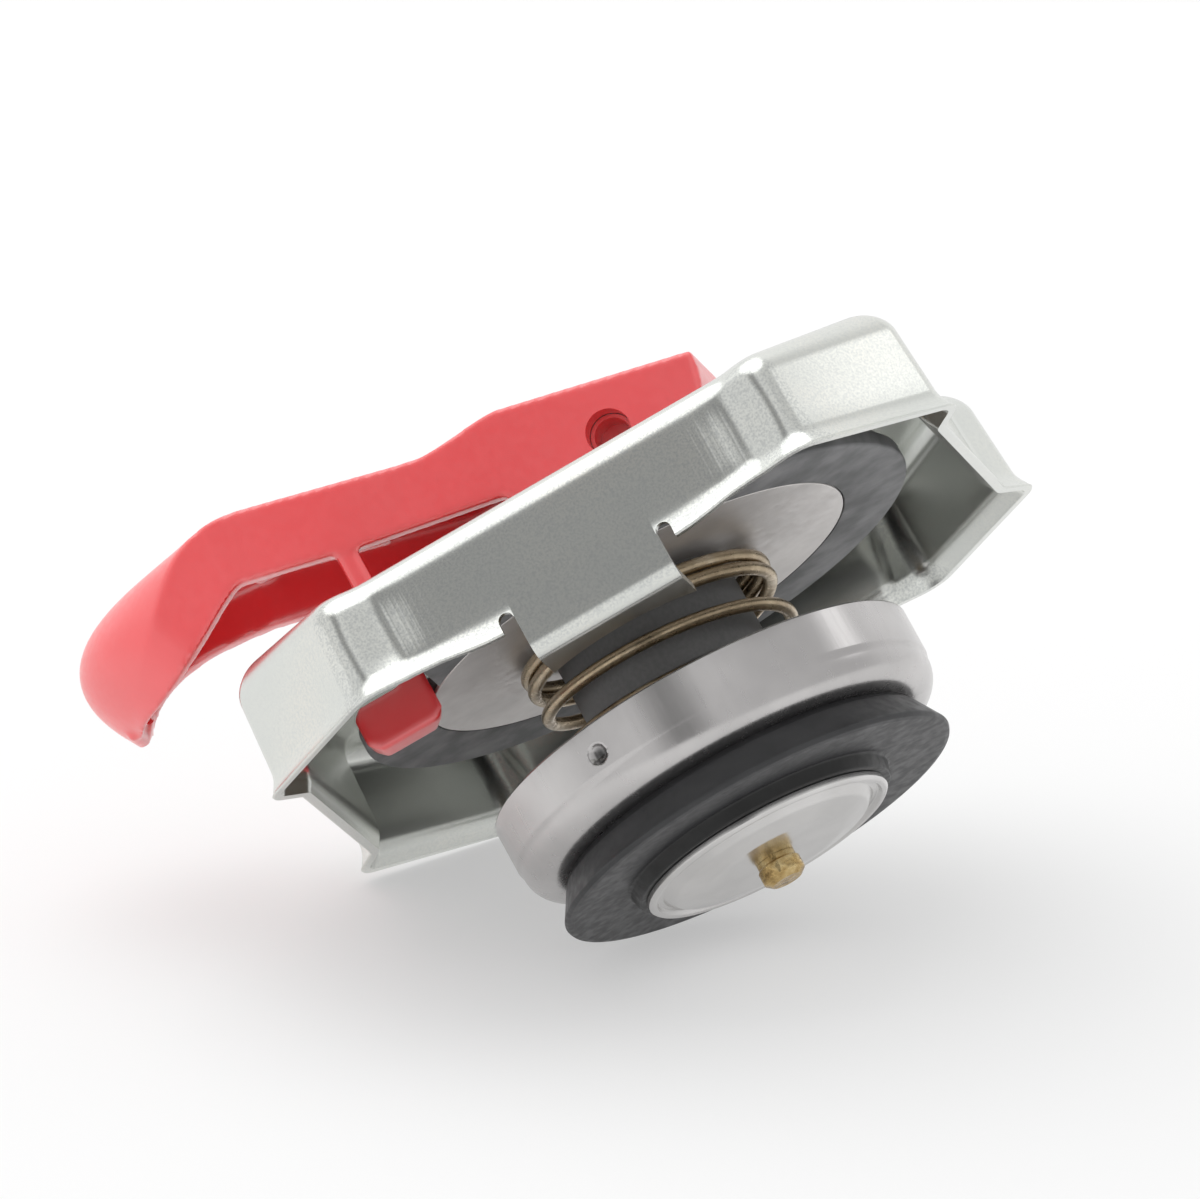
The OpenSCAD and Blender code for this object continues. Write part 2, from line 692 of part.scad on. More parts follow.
vent_r = 0.8;
vents = 6;
guide_gap = 0.25;
module seal_retainer() color(bright_steel) difference() {
    turned([
        [vac_stem_r + guide_gap, retainer_floor - retainer_t], [recess_r - 0.2, retainer_floor - retainer_t],
        [recess_r - 0.2, retainer_floor], [retainer_r, retainer_floor], [retainer_r, cup_floor],
        [retainer_r + 2.4, cup_floor], [retainer_r + 2.4, cup_floor + retainer_t],
        [retainer_r - retainer_t, cup_floor + retainer_t], [retainer_r - retainer_t, retainer_floor],
        [vac_stem_r + guide_gap, retainer_floor]
    ]);
    for (i = [0:vents - 1])
        rotate([0, 0, 360 / vents * (i + 0.5)])
            translate([retainer_r - retainer_t - 0.9, 0, retainer_floor - retainer_t - 1])
                cylinder(r = vent_r, h = retainer_t + 2, $fn = 24);
}

// Vacuum valve: a pressed plate, its brass stem, clip and spring
vac_t = 0.5;
vac_face = boss_face - 0.02;
bead_h = 0.75;
dome_h = 1.3;
dome_base = vac_r - 1.5;
dome_top = vac_r - 5.4;
module vacuum_plate() color(bright_steel) turned([
    [vac_stem_r, vac_face - vac_t - dome_h], [dome_top, vac_face - vac_t - dome_h], [dome_base, vac_face - vac_t],
    [vac_r - 0.9, vac_face - vac_t], [vac_r - 0.7, vac_face - bead_h], [vac_r - 0.3, vac_face - bead_h - 0.1],
    [vac_r, vac_face - bead_h + 0.25], [vac_r, vac_face],
    [dome_base + 0.15, vac_face], [dome_top + 0.15, vac_face - dome_h], [vac_stem_r, vac_face - dome_h]
]);

vac_under = vac_face - vac_t - dome_h;
clip_t = 0.5;
clip_z = collar_bottom - stem_head - relief_travel - 1.2 - clip_t;
tail_l = 2.4;
module vacuum_stem() color(brass) turned([
    [0, vac_under - tail_l], [vac_stem_r - 0.2, vac_under - tail_l], [vac_stem_r + 0.4, vac_under - tail_l + 0.5],
    [vac_stem_r + 0.4, vac_under - tail_l + 1.7], [vac_stem_r + 0.2, vac_under - tail_l + 1.9],
    [vac_stem_r + 0.2, vac_under],
    [vac_stem_r, vac_under], [vac_stem_r, vac_under + vac_t], [vac_stem_r, clip_z],
    [vac_stem_r - 0.5, clip_z], [vac_stem_r - 0.5, clip_z + clip_t], [vac_stem_r, clip_z + clip_t],
    [vac_stem_r - 0.2, clip_z + clip_t + 0.6], [0, clip_z + clip_t + 0.6]
]);

clip_r = 4.4;
module vacuum_clip() color(bright_steel)
    turned([[vac_stem_r - 0.5, clip_z], [clip_r, clip_z], [clip_r, clip_z + clip_t], [vac_stem_r - 0.5, clip_z + clip_t]]);

vac_turns = 4;
module vacuum_spring() color(spring_tan)
    translate([0, 0, clip_z - vac_wire / 2]) coil(
        clip_r - 0.9, vac_wire,
        [
            [0.75, -0.75 * vac_wire * 1.1],
            [vac_turns - 1.5, -(clip_z - retainer_floor - vac_wire - 1.5 * vac_wire * 1.1)],
            [0.75, -0.75 * vac_wire * 1.1]
        ],
        0, 16, 6
    );

cap_shell();
backing_plate();
neck_gasket();
diaphragm_disc();
centre_bush();
stem_ring();
guide_sleeve();
lift_stem();
lift_yoke();
lift_collar();
lever();
lever_pin();
pressure_spring();
spring_plate();
valve_cup();
valve_seal();
seal_retainer();
vacuum_plate();
vacuum_stem();
vacuum_clip();
vacuum_spring();
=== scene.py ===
"""Looks of a lever-vent radiator cap: smooth pieces, finishes, light and camera on its frame."""

import json
import math
from math import cos, sin
from types import SimpleNamespace

import bmesh
import bpy
import numpy as np
from bpy.types import Operator, Panel, PropertyGroup
from mathutils import Matrix, Vector

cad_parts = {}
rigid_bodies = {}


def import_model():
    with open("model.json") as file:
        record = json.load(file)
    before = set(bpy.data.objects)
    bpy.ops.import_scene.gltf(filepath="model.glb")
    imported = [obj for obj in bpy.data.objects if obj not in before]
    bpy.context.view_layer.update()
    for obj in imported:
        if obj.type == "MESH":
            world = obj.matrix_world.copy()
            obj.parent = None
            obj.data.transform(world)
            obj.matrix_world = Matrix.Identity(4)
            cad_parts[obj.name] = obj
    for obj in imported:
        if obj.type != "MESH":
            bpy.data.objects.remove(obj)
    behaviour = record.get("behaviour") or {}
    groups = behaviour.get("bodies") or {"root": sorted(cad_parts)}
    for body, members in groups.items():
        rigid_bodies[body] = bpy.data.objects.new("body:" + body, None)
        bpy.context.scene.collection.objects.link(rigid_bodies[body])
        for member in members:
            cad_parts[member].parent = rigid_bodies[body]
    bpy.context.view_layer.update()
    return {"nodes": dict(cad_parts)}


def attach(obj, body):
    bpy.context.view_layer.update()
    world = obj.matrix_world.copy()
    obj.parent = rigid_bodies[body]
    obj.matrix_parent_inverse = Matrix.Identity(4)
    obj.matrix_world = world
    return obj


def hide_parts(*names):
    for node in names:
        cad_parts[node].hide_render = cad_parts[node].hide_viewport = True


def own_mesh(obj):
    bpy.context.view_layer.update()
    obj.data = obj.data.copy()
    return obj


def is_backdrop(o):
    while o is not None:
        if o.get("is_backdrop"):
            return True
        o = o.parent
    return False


bl_info = {
    "name": "Radiator Cap Looks",
    "version": (1, 0, 0),
    "blender": (4, 5, 0),
    "location": "View3D > Sidebar > Radiator Cap",
    "description": "Builds the visible pieces of a lever-vent radiator cap and its studio",
    "category": "Object",
}

MM = 0.001
QUARTER = math.pi / 2
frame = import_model()


# Meshes

def link_piece(name, verts, faces, scale=MM):
    """A new mesh object at the origin; verts are in millimetres unless a scale is given."""
    mesh = bpy.data.meshes.new(name)
    mesh.from_pydata([tuple(c * scale for c in v) for v in verts], [], faces)
    mesh.update()
    obj = bpy.data.objects.new(name, mesh)
    bpy.context.scene.collection.objects.link(obj)
    return obj


def tidy_normals(obj, angle=32.0):
    """Consistent normals, smooth shading and creases above the angle."""
    bm = bmesh.new()
    bm.from_mesh(obj.data)
    bmesh.ops.remove_doubles(bm, verts=bm.verts, dist=1e-6)
    bmesh.ops.recalc_face_normals(bm, faces=bm.faces)
    bm.to_mesh(obj.data)
    bm.free()
    obj.data.shade_smooth()
    obj.data.set_sharp_from_angle(angle=math.radians(angle))
    return obj


def bake(obj):
    """Replaces the object's mesh by its evaluated one and drops its modifiers."""
    graph = bpy.context.evaluated_depsgraph_get()
    mesh = bpy.data.meshes.new_from_object(obj.evaluated_get(graph), depsgraph=graph)
    obj.modifiers.clear()
    obj.data = mesh
    return obj


def combine(obj, other, operation):
    """Boolean of two closed meshes; the second object is removed."""
    mod = obj.modifiers.new("combine", "BOOLEAN")
    mod.operation = operation
    mod.solver = "EXACT"
    mod.object = other
    bake(obj)
    bpy.data.objects.remove(other)
    return obj


def bands(n, rows):
    """Quads between rows of n points each, closed around."""
    return [
        (r * n + i, r * n + (i + 1) % n, (r + 1) * n + (i + 1) % n, (r + 1) * n + i)
        for r in range(rows) for i in range(n)
    ]


def block(name, low, high):
    """A plain cutter between two corners, in millimetres."""
    (x0, y0, z0), (x1, y1, z1) = low, high
    v = [(x, y, z) for z in (z0, z1) for x, y in ((x0, y0), (x1, y0), (x1, y1), (x0, y1))]
    f = [(3, 2, 1, 0), (4, 5, 6, 7), (0, 1, 5, 4), (1, 2, 6, 5), (2, 3, 7, 6), (3, 0, 4, 7)]
    return link_piece(name, v, f)


def prism(name, outline, y0, y1):
    """An outline in X and Z, extruded along Y."""
    n = len(outline)
    v = [(x, y, z) for y in (y0, y1) for x, z in outline]
    f = [tuple(range(n)), tuple(reversed(range(n, 2 * n)))]
    f += [(i, i + n, (i + 1) % n + n, (i + 1) % n) for i in range(n)]
    return tidy_normals(link_piece(name, v, f))


EDGE_SHARE = 0.48
NEARLY_STRAIGHT = 0.02


def rounded(points, steps=5):
    """A closed outline of (a, b, radius) corners, with each corner turned into an arc."""
    out = []
    n = len(points)
    for i, (px, py, r) in enumerate(points):
        p = np.array([px, py])
        a = np.array(points[i - 1][:2]) - p
        c = np.array(points[(i + 1) % n][:2]) - p
        la, lc = np.linalg.norm(a), np.linalg.norm(c)
        u, w = a / la, c / lc
        half = math.acos(max(-1, min(1, float(u @ w)))) / 2
        if r <= 0 or half > QUARTER - NEARLY_STRAIGHT:
            out.append((px, py))
            continue
        reach = min(r / math.tan(half), EDGE_SHARE * la, EDGE_SHARE * lc)
        r = reach * math.tan(half)
        centre = p + (u + w) / np.linalg.norm(u + w) * r / sin(half)
        s = p + u * reach - centre
        e = p + w * reach - centre
        first = math.atan2(s[1], s[0])
        sweep = (math.atan2(e[1], e[0]) - first + math.pi) % (2 * math.pi) - math.pi
        for k in range(steps + 1):
            turn = first + sweep * k / steps
            out.append(tuple(centre + r * np.array([cos(turn), sin(turn)])))
    return out


def lathe(name, section, segments=192, steps=5):
    """A ring or disc turned from (radius, height, corner radius) points of a half section."""
    pts = rounded(section, steps)
    n = len(pts)
    verts, faces = [], []
    for s in range(segments):
        a = 2 * math.pi * s / segments
        verts += [(r * cos(a), r * sin(a), z) for r, z in pts]
    for s in range(segments):
        t = (s + 1) % segments
        for i in range(n):
            j = (i + 1) % n
            if pts[i][0] < 1e-6 and pts[j][0] < 1e-6:
                continue
            faces.append((s * n + i, t * n + i, t * n + j, s * n + j))
    return tidy_normals(link_piece(name, verts, faces))


def drum(name, radius, low, high, segments=192):
    """A plain round cutter on the cap's axis."""
    return lathe(name, [(0, low, 0), (radius, low, 0), (radius, high, 0), (0, high, 0)], segments)


def lay_across(obj, x, z):
    """Lays a turned piece along Y, at x and z in millimetres."""
    place = Matrix.Translation((x * MM, 0, z * MM))
    obj.data.transform(place @ Matrix.Rotation(QUARTER, 4, "X"))
    return obj


def ease(value, start, end):
    """Smooth step from 0 at the start to 1 at the end."""
    u = min(1, max(0, (value - start) / (end - start)))
    return u * u * (3 - 2 * u)


def settle(obj, body, node, finish):
    """Gives a finished piece its finish and body, and hides the node that it stands in for."""
    obj.data.materials.clear()
    obj.data.materials.append(finish_of(finish))
    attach(obj, body)
    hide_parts(node)
    return obj


# Materials

def add_node(tree, kind, inputs=None, **settings):
    """A new node's outputs, once its settings are made and its inputs linked or set."""
    node = tree.nodes.new(kind)
    for key, value in settings.items():
        setattr(node, key, value)
    for key, value in (inputs or {}).items():
        if isinstance(value, bpy.types.NodeSocket):
            tree.links.new(value, node.inputs[key])
        else:
            node.inputs[key].default_value = value
    return node.outputs


def grade(tree, value, stops):
    """Colour ramp through (place, colour) stops."""
    out = add_node(tree, "ShaderNodeValToRGB", {"Fac": value})["Color"]
    elements = out.node.color_ramp.elements
    for i, (at, colour) in enumerate(stops):
        element = elements[i] if i < 2 else elements.new(at)
        element.position = at
        element.color = (*colour, 1)
    return out


def choose(tree, factor, a, b):
    """The first shader where the factor is 0, and the second where it is 1."""
    return add_node(tree, "ShaderNodeMixShader", {0: factor, 1: a, 2: b})[0]


class Graph:
    """Short calls for building one material's node tree."""

    def __init__(self, name, colour, metallic, roughness):
        self.material = bpy.data.materials.new(name)
        self.material.use_nodes = True
        self.tree = self.material.node_tree
        self.shader = self.tree.nodes["Principled BSDF"]
        self.fix("Base Color", (*colour, 1))
        self.fix("Metallic", metallic)
        self.fix("Roughness", roughness)
        self.coords = self.add("ShaderNodeTexCoord")["Object"]

    def add(self, kind, inputs=None, **settings):
        return add_node(self.tree, kind, inputs, **settings)

    def fix(self, key, value):
        """Sets a constant on the shader's own socket."""
        self.shader.inputs[key].default_value = value

    def drive(self, key, value):
        """Links a pattern to the shader's socket."""
        self.tree.links.new(value, self.shader.inputs[key])

    def noise(self, scale, detail=3.0, stretch=None, rough=0.5):
        vector = self.coords
        if stretch:
            vector = self.add("ShaderNodeMapping", {"Vector": vector, "Scale": stretch})["Vector"]
        inputs = {"Vector": vector, "Scale": scale, "Detail": detail, "Roughness": rough}
        return self.add("ShaderNodeTexNoise", inputs)["Fac"]

    def ramp(self, value, stops):
        return grade(self.tree, value, stops)

    def span(self, value, a, b, low=0.0, high=1.0):
        """Eases from low at a to high at b."""
        inputs = {"Value": value, "From Min": a, "From Max": b, "To Min": low, "To Max": high}
        return self.add("ShaderNodeMapRange", inputs, interpolation_type="SMOOTHSTEP")["Result"]

    def window(self, value, a, b, c, d):
        """Rises from a to b, and falls from c to d."""
        return self.product(self.span(value, a, b), self.span(value, c, d, 1, 0))

    def math(self, operation, a, b=0.0):
        return self.add("ShaderNodeMath", {0: a, 1: b}, operation=operation)[0]

    def product(self, first, *others):
        for value in others:
            first = self.math("MULTIPLY", first, value)
        return first

    def mix(self, factor, a, b):
        a, b = (c if isinstance(c, bpy.types.NodeSocket) else (*c, 1) for c in (a, b))
        return self.add("ShaderNodeMix", {"Factor": factor, 6: a, 7: b}, data_type="RGBA")[2]

    def distance(self, point):
        inputs = {0: self.coords, 1: point}
        return self.add("ShaderNodeVectorMath", inputs, operation="DISTANCE")["Value"]

    def axes(self):
        return self.add("ShaderNodeSeparateXYZ", {0: self.coords})

    def bump(self, value, distance, strength):
        inputs = {"Height": value, "Distance": distance, "Strength": strength}
        self.drive("Normal", self.add("ShaderNodeBump", inputs)["Normal"])


def shade(colour, ratios):
    """A colour with each channel scaled by its own ratio."""
    return tuple(c * k for c, k in zip(colour, ratios))


def zinc_plate(colour):
    """Bright zinc on drawn sheet: fine grain, draw marks and a faint bow at the flats' ends."""
    g = Graph("zinc_plate", colour, 1.0, 0.25)
    x, y, z = g.axes()
    wide = g.math("ABSOLUTE", x)
    on_wall = g.span(g.math("ABSOLUTE", y), 0.0317, 0.0321)
    grain = g.noise(4400, 3)
    patches = g.noise(90, 2)
    marks = g.noise(1300, 2, stretch=(1.0, 0.05, 0.006), rough=0.6)
    drawn = g.product(
        g.window(wide, 0.0120, 0.0150, 0.0170, 0.0190),
        g.window(z, -0.0025, -0.001, 0.0035, 0.005), on_wall,
    )
    bow = g.product(
        g.window(wide, 0.0150, 0.0186, 0.0188, 0.0235),
        g.window(z, -0.0035, 0.0, 0.002, 0.0055), on_wall,
    )
    dull = shade(colour, (0.9452, 0.9595, 0.9714))
    warm = shade(colour, (1.0411, 1.0135, 1.0))
    pit = shade(colour, (0.9315, 0.9392, 0.9571))
    wall_pit = shade(colour, (0.7808, 0.7905, 0.8143))
    clean = g.ramp(patches, [(0.3, dull), (0.55, colour), (0.75, warm)])
    speckle = g.mix(on_wall, pit, wall_pit)
    g.drive("Base Color", g.mix(g.span(grain, 0.30, 0.64), speckle, clean))
    g.drive("Roughness", g.span(grain, 0.3, 0.7, 0.27, 0.23))
    relief = g.math("ADD", g.product(grain, 0.04), g.product(marks, drawn, 2.0))
    g.bump(g.math("SUBTRACT", relief, g.product(bow, 11.0)), 0.00006, 0.5)
    return g.material


def satin_steel(
    colour, name, rough, stretch=(1, 1, 1), grain=1400, depth=0.00002, metallic=1.0,
    spread=0.07, shaded_pit_centres=(),
):
    """Pressed sheet steel with fine rolling grain, faint patches and painted shade in its pits."""
    g = Graph(name, colour, metallic, rough)
    fine = g.noise(grain, 3, stretch=stretch)
    tone = g.mix(g.span(g.noise(160, 2), 0.3, 0.7), shade(colour, (0.9, 0.9, 0.9)), colour)
    # Painted shade: around each stake pit the steel turns near black, standing in for the shade
    # inside the hollow.
    for pit in shaded_pit_centres:
        tone = g.mix(g.span(g.distance(pit), 0.00062, 0.00092), (0.05, 0.05, 0.05), tone)
    g.drive("Base Color", tone)
    g.drive("Roughness", g.span(fine, 0.25, 0.75, rough - spread, rough + spread))
    g.bump(fine, depth, 0.5)
    return g.material


def rubber(colour, name, bloom, rough, grain, inner=None):
    """Moulded rubber with a dusty bloom, and painted shade inside the radius that is given."""
    g = Graph(name, colour, 0.0, rough)
    g.fix("Specular IOR Level", 0.42)
    fine = g.noise(grain, 4)
    tone = g.mix(g.span(g.noise(210, 4), 0.35, 0.72), colour, shade(colour, bloom))
    # Painted shade: inside the given radius the rubber turns near black, standing in for the shade
    # on the seal's boss wall.
    if inner:
        x, y, _ = g.axes()
        radius = g.math("SQRT", g.math("ADD", g.product(x, x), g.product(y, y)))
        tone = g.mix(g.span(radius, inner, inner + 0.0012), (0.008, 0.008, 0.008), tone)
    g.drive("Base Color", tone)
    g.drive("Roughness", g.span(fine, 0.3, 0.7, rough - 0.08, rough + 0.08))
    g.bump(fine, 0.00004, 0.5)
    return g.material


def red_nylon(colour):
    """Injection-moulded red plastic: satin gloss, slow ripples, uneven sheen."""
    g = Graph("red_nylon", colour, 0.0, 0.36)
    g.fix("Specular IOR Level", 0.9)
    g.fix("Coat Roughness", 0.34)
    g.fix("Coat IOR", 2.15)
    g.fix("Subsurface Weight", 0.08)
    g.fix("Subsurface Radius", (0.0022, 0.0006, 0.0005))
    fine = g.noise(1500, 3)
    deep, pale = shade(colour, (0.9565, 0.8125, 0.8)), shade(colour, (1.0326, 1.1875, 1.16))
    g.drive("Base Color", g.mix(g.span(g.noise(70, 2), 0.35, 0.7), deep, pale))
    g.drive("Coat Weight", g.span(g.noise(60, 1), 0.3, 0.7, 0.68, 0.9))
    g.drive("Roughness", g.span(fine, 0.3, 0.7, 0.30, 0.42))
    g.bump(g.math("ADD", g.noise(170, 2), g.product(fine, 0.10)), 0.00022, 0.6)
    return g.material


def spring_wire(colour):
    """Tan passivated wire with drawing marks and paler rubbed places."""
    g = Graph("spring_wire", colour, 1.0, 0.32)
    fine = g.noise(1500, 3, stretch=(1, 1, 3))
    dark, rubbed = shade(colour, (0.6522, 0.6216, 0.6)), shade(colour, (1.3478, 1.4595, 1.68))
    g.drive("Base Color", g.ramp(g.noise(260, 3), [(0.3, dark), (0.55, colour), (0.78, rubbed)]))
    g.drive("Roughness", g.span(fine, 0.3, 0.7, 0.25, 0.42))
    g.bump(fine, 0.00002, 0.4)
    return g.material


def turned_brass(colour):
    """Peened brass with hammer facets."""
    g = Graph("turned_brass", colour, 1.0, 0.24)
    dents = g.noise(900, 2)
    dark, bright = shade(colour, (0.52, 0.4857, 0.4667)), shade(colour, (1.4, 1.5714, 1.9333))
    g.drive("Base Color", g.ramp(dents, [(0.3, dark), (0.5, colour), (0.75, bright)]))
    g.drive("Roughness", g.span(g.noise(2500, 3), 0.3, 0.7, 0.18, 0.34))
    g.bump(dents, 0.00025, 0.8)
    return g.material


def black_nylon(colour):
    """Dark moulded sleeve with a fine even grain."""
    g = Graph("black_nylon", colour, 0.0, 0.48)
    fine = g.noise(2400, 2)
    dark, pale = shade(colour, (0.9118, 0.9118, 0.9128)), shade(colour, (1.1176, 1.1176, 1.1047))
    g.drive("Base Color", g.mix(g.span(fine, 0.2, 0.8), dark, pale))
    g.drive("Roughness", g.span(fine, 0.3, 0.7, 0.42, 0.52))
    g.bump(fine, 0.00001, 0.4)
    return g.material


CUP_R, STAKE_Z = 21.35, -15.2
STAKE_R, STAKE_DEPTH = 0.95, 0.66
STAKE_ANGLES = [math.radians(-112 + 120 * k) for k in range(3)]
STAKES = [
    (CUP_R * cos(a) * MM, CUP_R * sin(a) * MM, STAKE_Z * MM) for a in STAKE_ANGLES
]
FINISHES = {
    "zinc": (zinc_plate, {}),
    "cup": (satin_steel, dict(
        name="cup_steel", rough=0.25, stretch=(1, 1, 0.08), grain=1500, depth=0.000006,
        # The stake centres also set where the cup's painted pit shade goes.
        spread=0.03, shaded_pit_centres=STAKES,
    )),
    "disc": (satin_steel, dict(name="disc_steel", rough=0.50, grain=900, metallic=0.8)),
    "plate": (satin_steel, dict(
        name="plate_steel", rough=0.25, grain=900, depth=0.000004, spread=0.02,
    )),
    "dark": (satin_steel, dict(name="dark_steel", rough=0.40)),
    "gasket": (rubber, dict(
        name="gasket_rubber", bloom=(1.7143, 1.6901, 1.6897), rough=0.62, grain=500,
    )),
    "seal": (rubber, dict(
        # The inner radius sets where the seal's painted shade begins.
        name="seal_rubber", bloom=(1.3125, 1.3125, 1.2941), rough=0.42, grain=900, inner=0.0131,
    )),
    "red": (red_nylon, {}),
    "wire": (spring_wire, {}),
    "brass": (turned_brass, {}),
    "sleeve": (black_nylon, {}),
}
MATERIALS = {}


def finish_of(key):
    """The material of that key, made once, in its colour from the settings."""
    if key not in MATERIALS:
        maker, options = FINISHES[key]
        MATERIALS[key] = maker(tuple(getattr(bpy.context.scene.cap_finish, key)), **options)
    return MATERIALS[key]


# Settings

def length(name, about, default, low, high):
    """A length property; its numbers are given in millimetres and kept in metres."""
    return bpy.props.FloatProperty(
        name=name, description=about, default=default * MM, min=low * MM, max=high * MM,
        precision=5, unit="LENGTH",
    )


def count(name, about, default, low, high):
    """A whole number."""
    return bpy.props.IntProperty(
        name=name, description=about, default=default, min=low, max=high,
    )


def angle(name, about, degrees):
    """An angle property; its default is given in degrees."""
    return bpy.props.FloatProperty(
        name=name, description=about, default=math.radians(degrees), subtype="ANGLE",
    )


def tint(name, about, colour):
    """A colour property."""
    return bpy.props.FloatVectorProperty(
        name=name, description=about, default=colour, min=0, max=1, size=3, subtype="COLOR",
    )


def in_mm(group):
    """A settings group's values, with its lengths in millimetres."""
    values = {}
    for name in type(group).__annotations__:
        value = getattr(group, name)
        is_length = group.bl_rna.properties[name].unit == "LENGTH"
        values[name] = round(value / MM, 4) if is_length else value
    return SimpleNamespace(**values)


class FinishSettings(PropertyGroup):
    """Main colour of each finish."""

    zinc: tint("Zinc", "Plating of the shell", (0.73, 0.74, 0.70))
    cup: tint("Cup", "Steel of the valve cup", (0.57, 0.555, 0.55))
    disc: tint("Disc", "Steel of the disc and the inner pieces", (0.70, 0.675, 0.66))
    plate: tint("Plate", "Steel of the vacuum plate", (0.68, 0.67, 0.66))
    dark: tint("Dark steel", "Steel of the backing plate", (0.30, 0.30, 0.31))
    gasket: tint("Gasket", "Rubber of the neck gasket", (0.14, 0.142, 0.145))
    seal: tint("Seal", "Rubber of the valve seal", (0.032, 0.032, 0.034))
    red: tint("Lever", "Plastic of the lever and its pin", (0.92, 0.016, 0.025))
    wire: tint("Wire", "Wire of the springs", (0.46, 0.37, 0.25))
    brass: tint("Brass", "Brass of the stem", (0.50, 0.35, 0.15))
    sleeve: tint("Sleeve", "Plastic of the guide sleeve", (0.17, 0.17, 0.172))


class ShellSettings(PropertyGroup):
    """Sizes of the drawn shell."""

    sheet: length("Sheet", "Sheet thickness", 0.9, 0.3, 2)
    top: length("Top", "Height of the top face", 7.2, 4, 12)
    rim: length("Rim", "Depth of the rim below the seat", 3.7, 1, 8)
    fold: length("Fold", "Outside radius of the fold", 3.0, 1, 5)
    end_rise: length("End rise", "Rise of the top towards its ends", 1.3, 0, 3)
    dip: length("Dip", "Extra depth of the rim beside the fingers", 1.0, 0, 2)
    flare: length("Flare", "Outward flare of the rim", 1.0, 0, 2)
    corner_steps: count("Corner steps", "Points in each corner", 9, 2, 24)
    fold_steps: count("Fold steps", "Rings in the fold", 14, 3, 32)


class LeverSettings(PropertyGroup):
    """Sizes of the vent lever."""

    width: length("Width", "Width over the side walls", 22, 10, 40)
    wall: length("Wall", "Side wall thickness", 2.2, 1, 4)
    roof: length("Roof", "Top thickness", 1.8, 1, 3)
    voxel: length("Voxel", "Cell of the remesh that rounds the edges", 0.31, 0.2, 1)
    soften: count("Soften", "Smoothing passes on the moulding", 6, 0, 30)


class SpringSettings(PropertyGroup):
    """Sizes of the pressure spring."""

    radius: length("Radius", "Mean coil radius", 12.1, 5, 20)
    wire: length("Wire", "Wire diameter", 1.3, 0.5, 3)
    top: length("Top", "Height of the upper end", 0.0, -5, 5)
    bottom: length("Bottom", "Height of the lower end", -13.1, -30, 0)


class ValveSettings(PropertyGroup):
    """Sizes of the pressure and vacuum valves."""

    cup_r: length("Cup radius", "Outside radius of the cup", CUP_R, 15, 30)
    cup_top: length("Cup top", "Height of the cup's rim", -12.4, -20, 0)
    cup_bottom: length("Cup bottom", "Height of the cup's floor", -20.3, -30, -10)
    seal_r: length("Seal radius", "Outside radius of the seal", 20, 15, 25)
    vac_r: length("Plate radius", "Outside radius of the vacuum plate", 12.4, 8, 16)


class StageSettings(PropertyGroup):
    """Camera and studio."""

    azimuth: angle("Azimuth", "Azimuth of the camera", 4.82)
    elevation: angle("Elevation", "Elevation of the camera", -14.7)
    roll: angle("Roll", "Roll of the camera", -28.8)
    pitch: angle("Floor pitch", "How far the camera looks down on the floor", 18.8)
    distance: length("Distance", "Camera distance", 2000, 200, 10000)
    shift_x: length("Shift X", "Aim offset to the right", 3.45, -50, 50)
    shift_y: length("Shift Y", "Aim offset upwards", -0.78, -50, 50)
    scale: bpy.props.FloatProperty(
        name="Scale", description="Pixels of the frame per millimetre", default=10.855, min=1,
    )


# Shell

PLAN = [((x, -32.6), 0.0) for x in (9.3, 10.8, 12.3, 13.8, 15.3)]
PLAN += [((18.5, -32.6), 4.0), ((22.8, -34.0), 2.6), ((35.46, -19.9), 1.8), ((33.1, -15.6), 2.6)]
PLAN += [((x, -y), r) for (x, y), r in reversed(PLAN)]
PLAN += [((-x, -y), r) for (x, y), r in PLAN]
RISE = (19.0, 33.0)
DIP = (9.0, 18.0)
DIP_HEIGHT = 2
DRAFT = 0.35
RIM_HEIGHT = 2.1
RIM_CURVE = [
    (0.0, 0.0), (0.16, 0.28), (0.36, 0.60), (0.60, 0.95), (0.82, 1.35), (0.95, 1.75),
    (1.0, RIM_HEIGHT),
]
LIP_IN, LIP_UP = 0.12, 0.14
RIVET_HOLE_R = 4.66
FOOT_SLOT = (-29.9, -11.3, 4), (-18.2, -6.5, 11)
WALL_INNER, WALL_OUTER, BELOW_RIM = 29.6, 35.6, -7
FINGER_ROOM, FINGER_ROOM_TOP = 7.45, -1.35
RELIEF_X, RELIEF_Z, RELIEF_R = 8.25, -3.5, 0.75
FINGER_HALF, FINGER_EDGE, FINGER_REACH, FINGER_LOW = 7.5, 0.25, 24.07, -7.7
TAB_FACE, TAB_TOP, BEND_INNER, BEND_STEPS = 32.585, -0.6, 1.2, 12
HOLLOW_R, HOLLOW_CENTRE = 12, 14.7


def plan_ring(inset, steps):
    """The shell's plan moved inwards, as a ring of points."""
    n = len(PLAN)
    corners = [np.array(p) for p, _ in PLAN]
    moved = []
    for i in range(n):
        u = corners[i] - corners[i - 1]
        w = corners[(i + 1) % n] - corners[i]
        u, w = u / np.linalg.norm(u), w / np.linalg.norm(w)
        side = np.array([-u[1] - w[1], u[0] + w[0]])
        moved.append(corners[i] + side * inset / (1 + u @ w))
    ring = []
    for i in range(n):
        a, b, c = moved[i - 1], moved[i], moved[(i + 1) % n]
        convex = (b - a)[0] * (c - b)[1] - (b - a)[1] * (c - b)[0] > 0
        r = PLAN[i][1]
        r = max(0.3, r - inset, min(2.4, r + inset / 2)) if convex else r + inset
        ring += rounded([(*a, 0), (*b, r), (*c, 0)], steps)[1:-1]
    return ring


def raised(s, x, z):
    """Height of a point of the skirt or fold: up towards the ends, down beside the fingers."""
    above = z + s.rim
    lift = s.end_rise * ease(abs(x), *RISE) * above / (s.top + s.rim)
    return z + lift - s.dip * (1 - ease(abs(x), *DIP)) * max(0, 1 - above / DIP_HEIGHT)


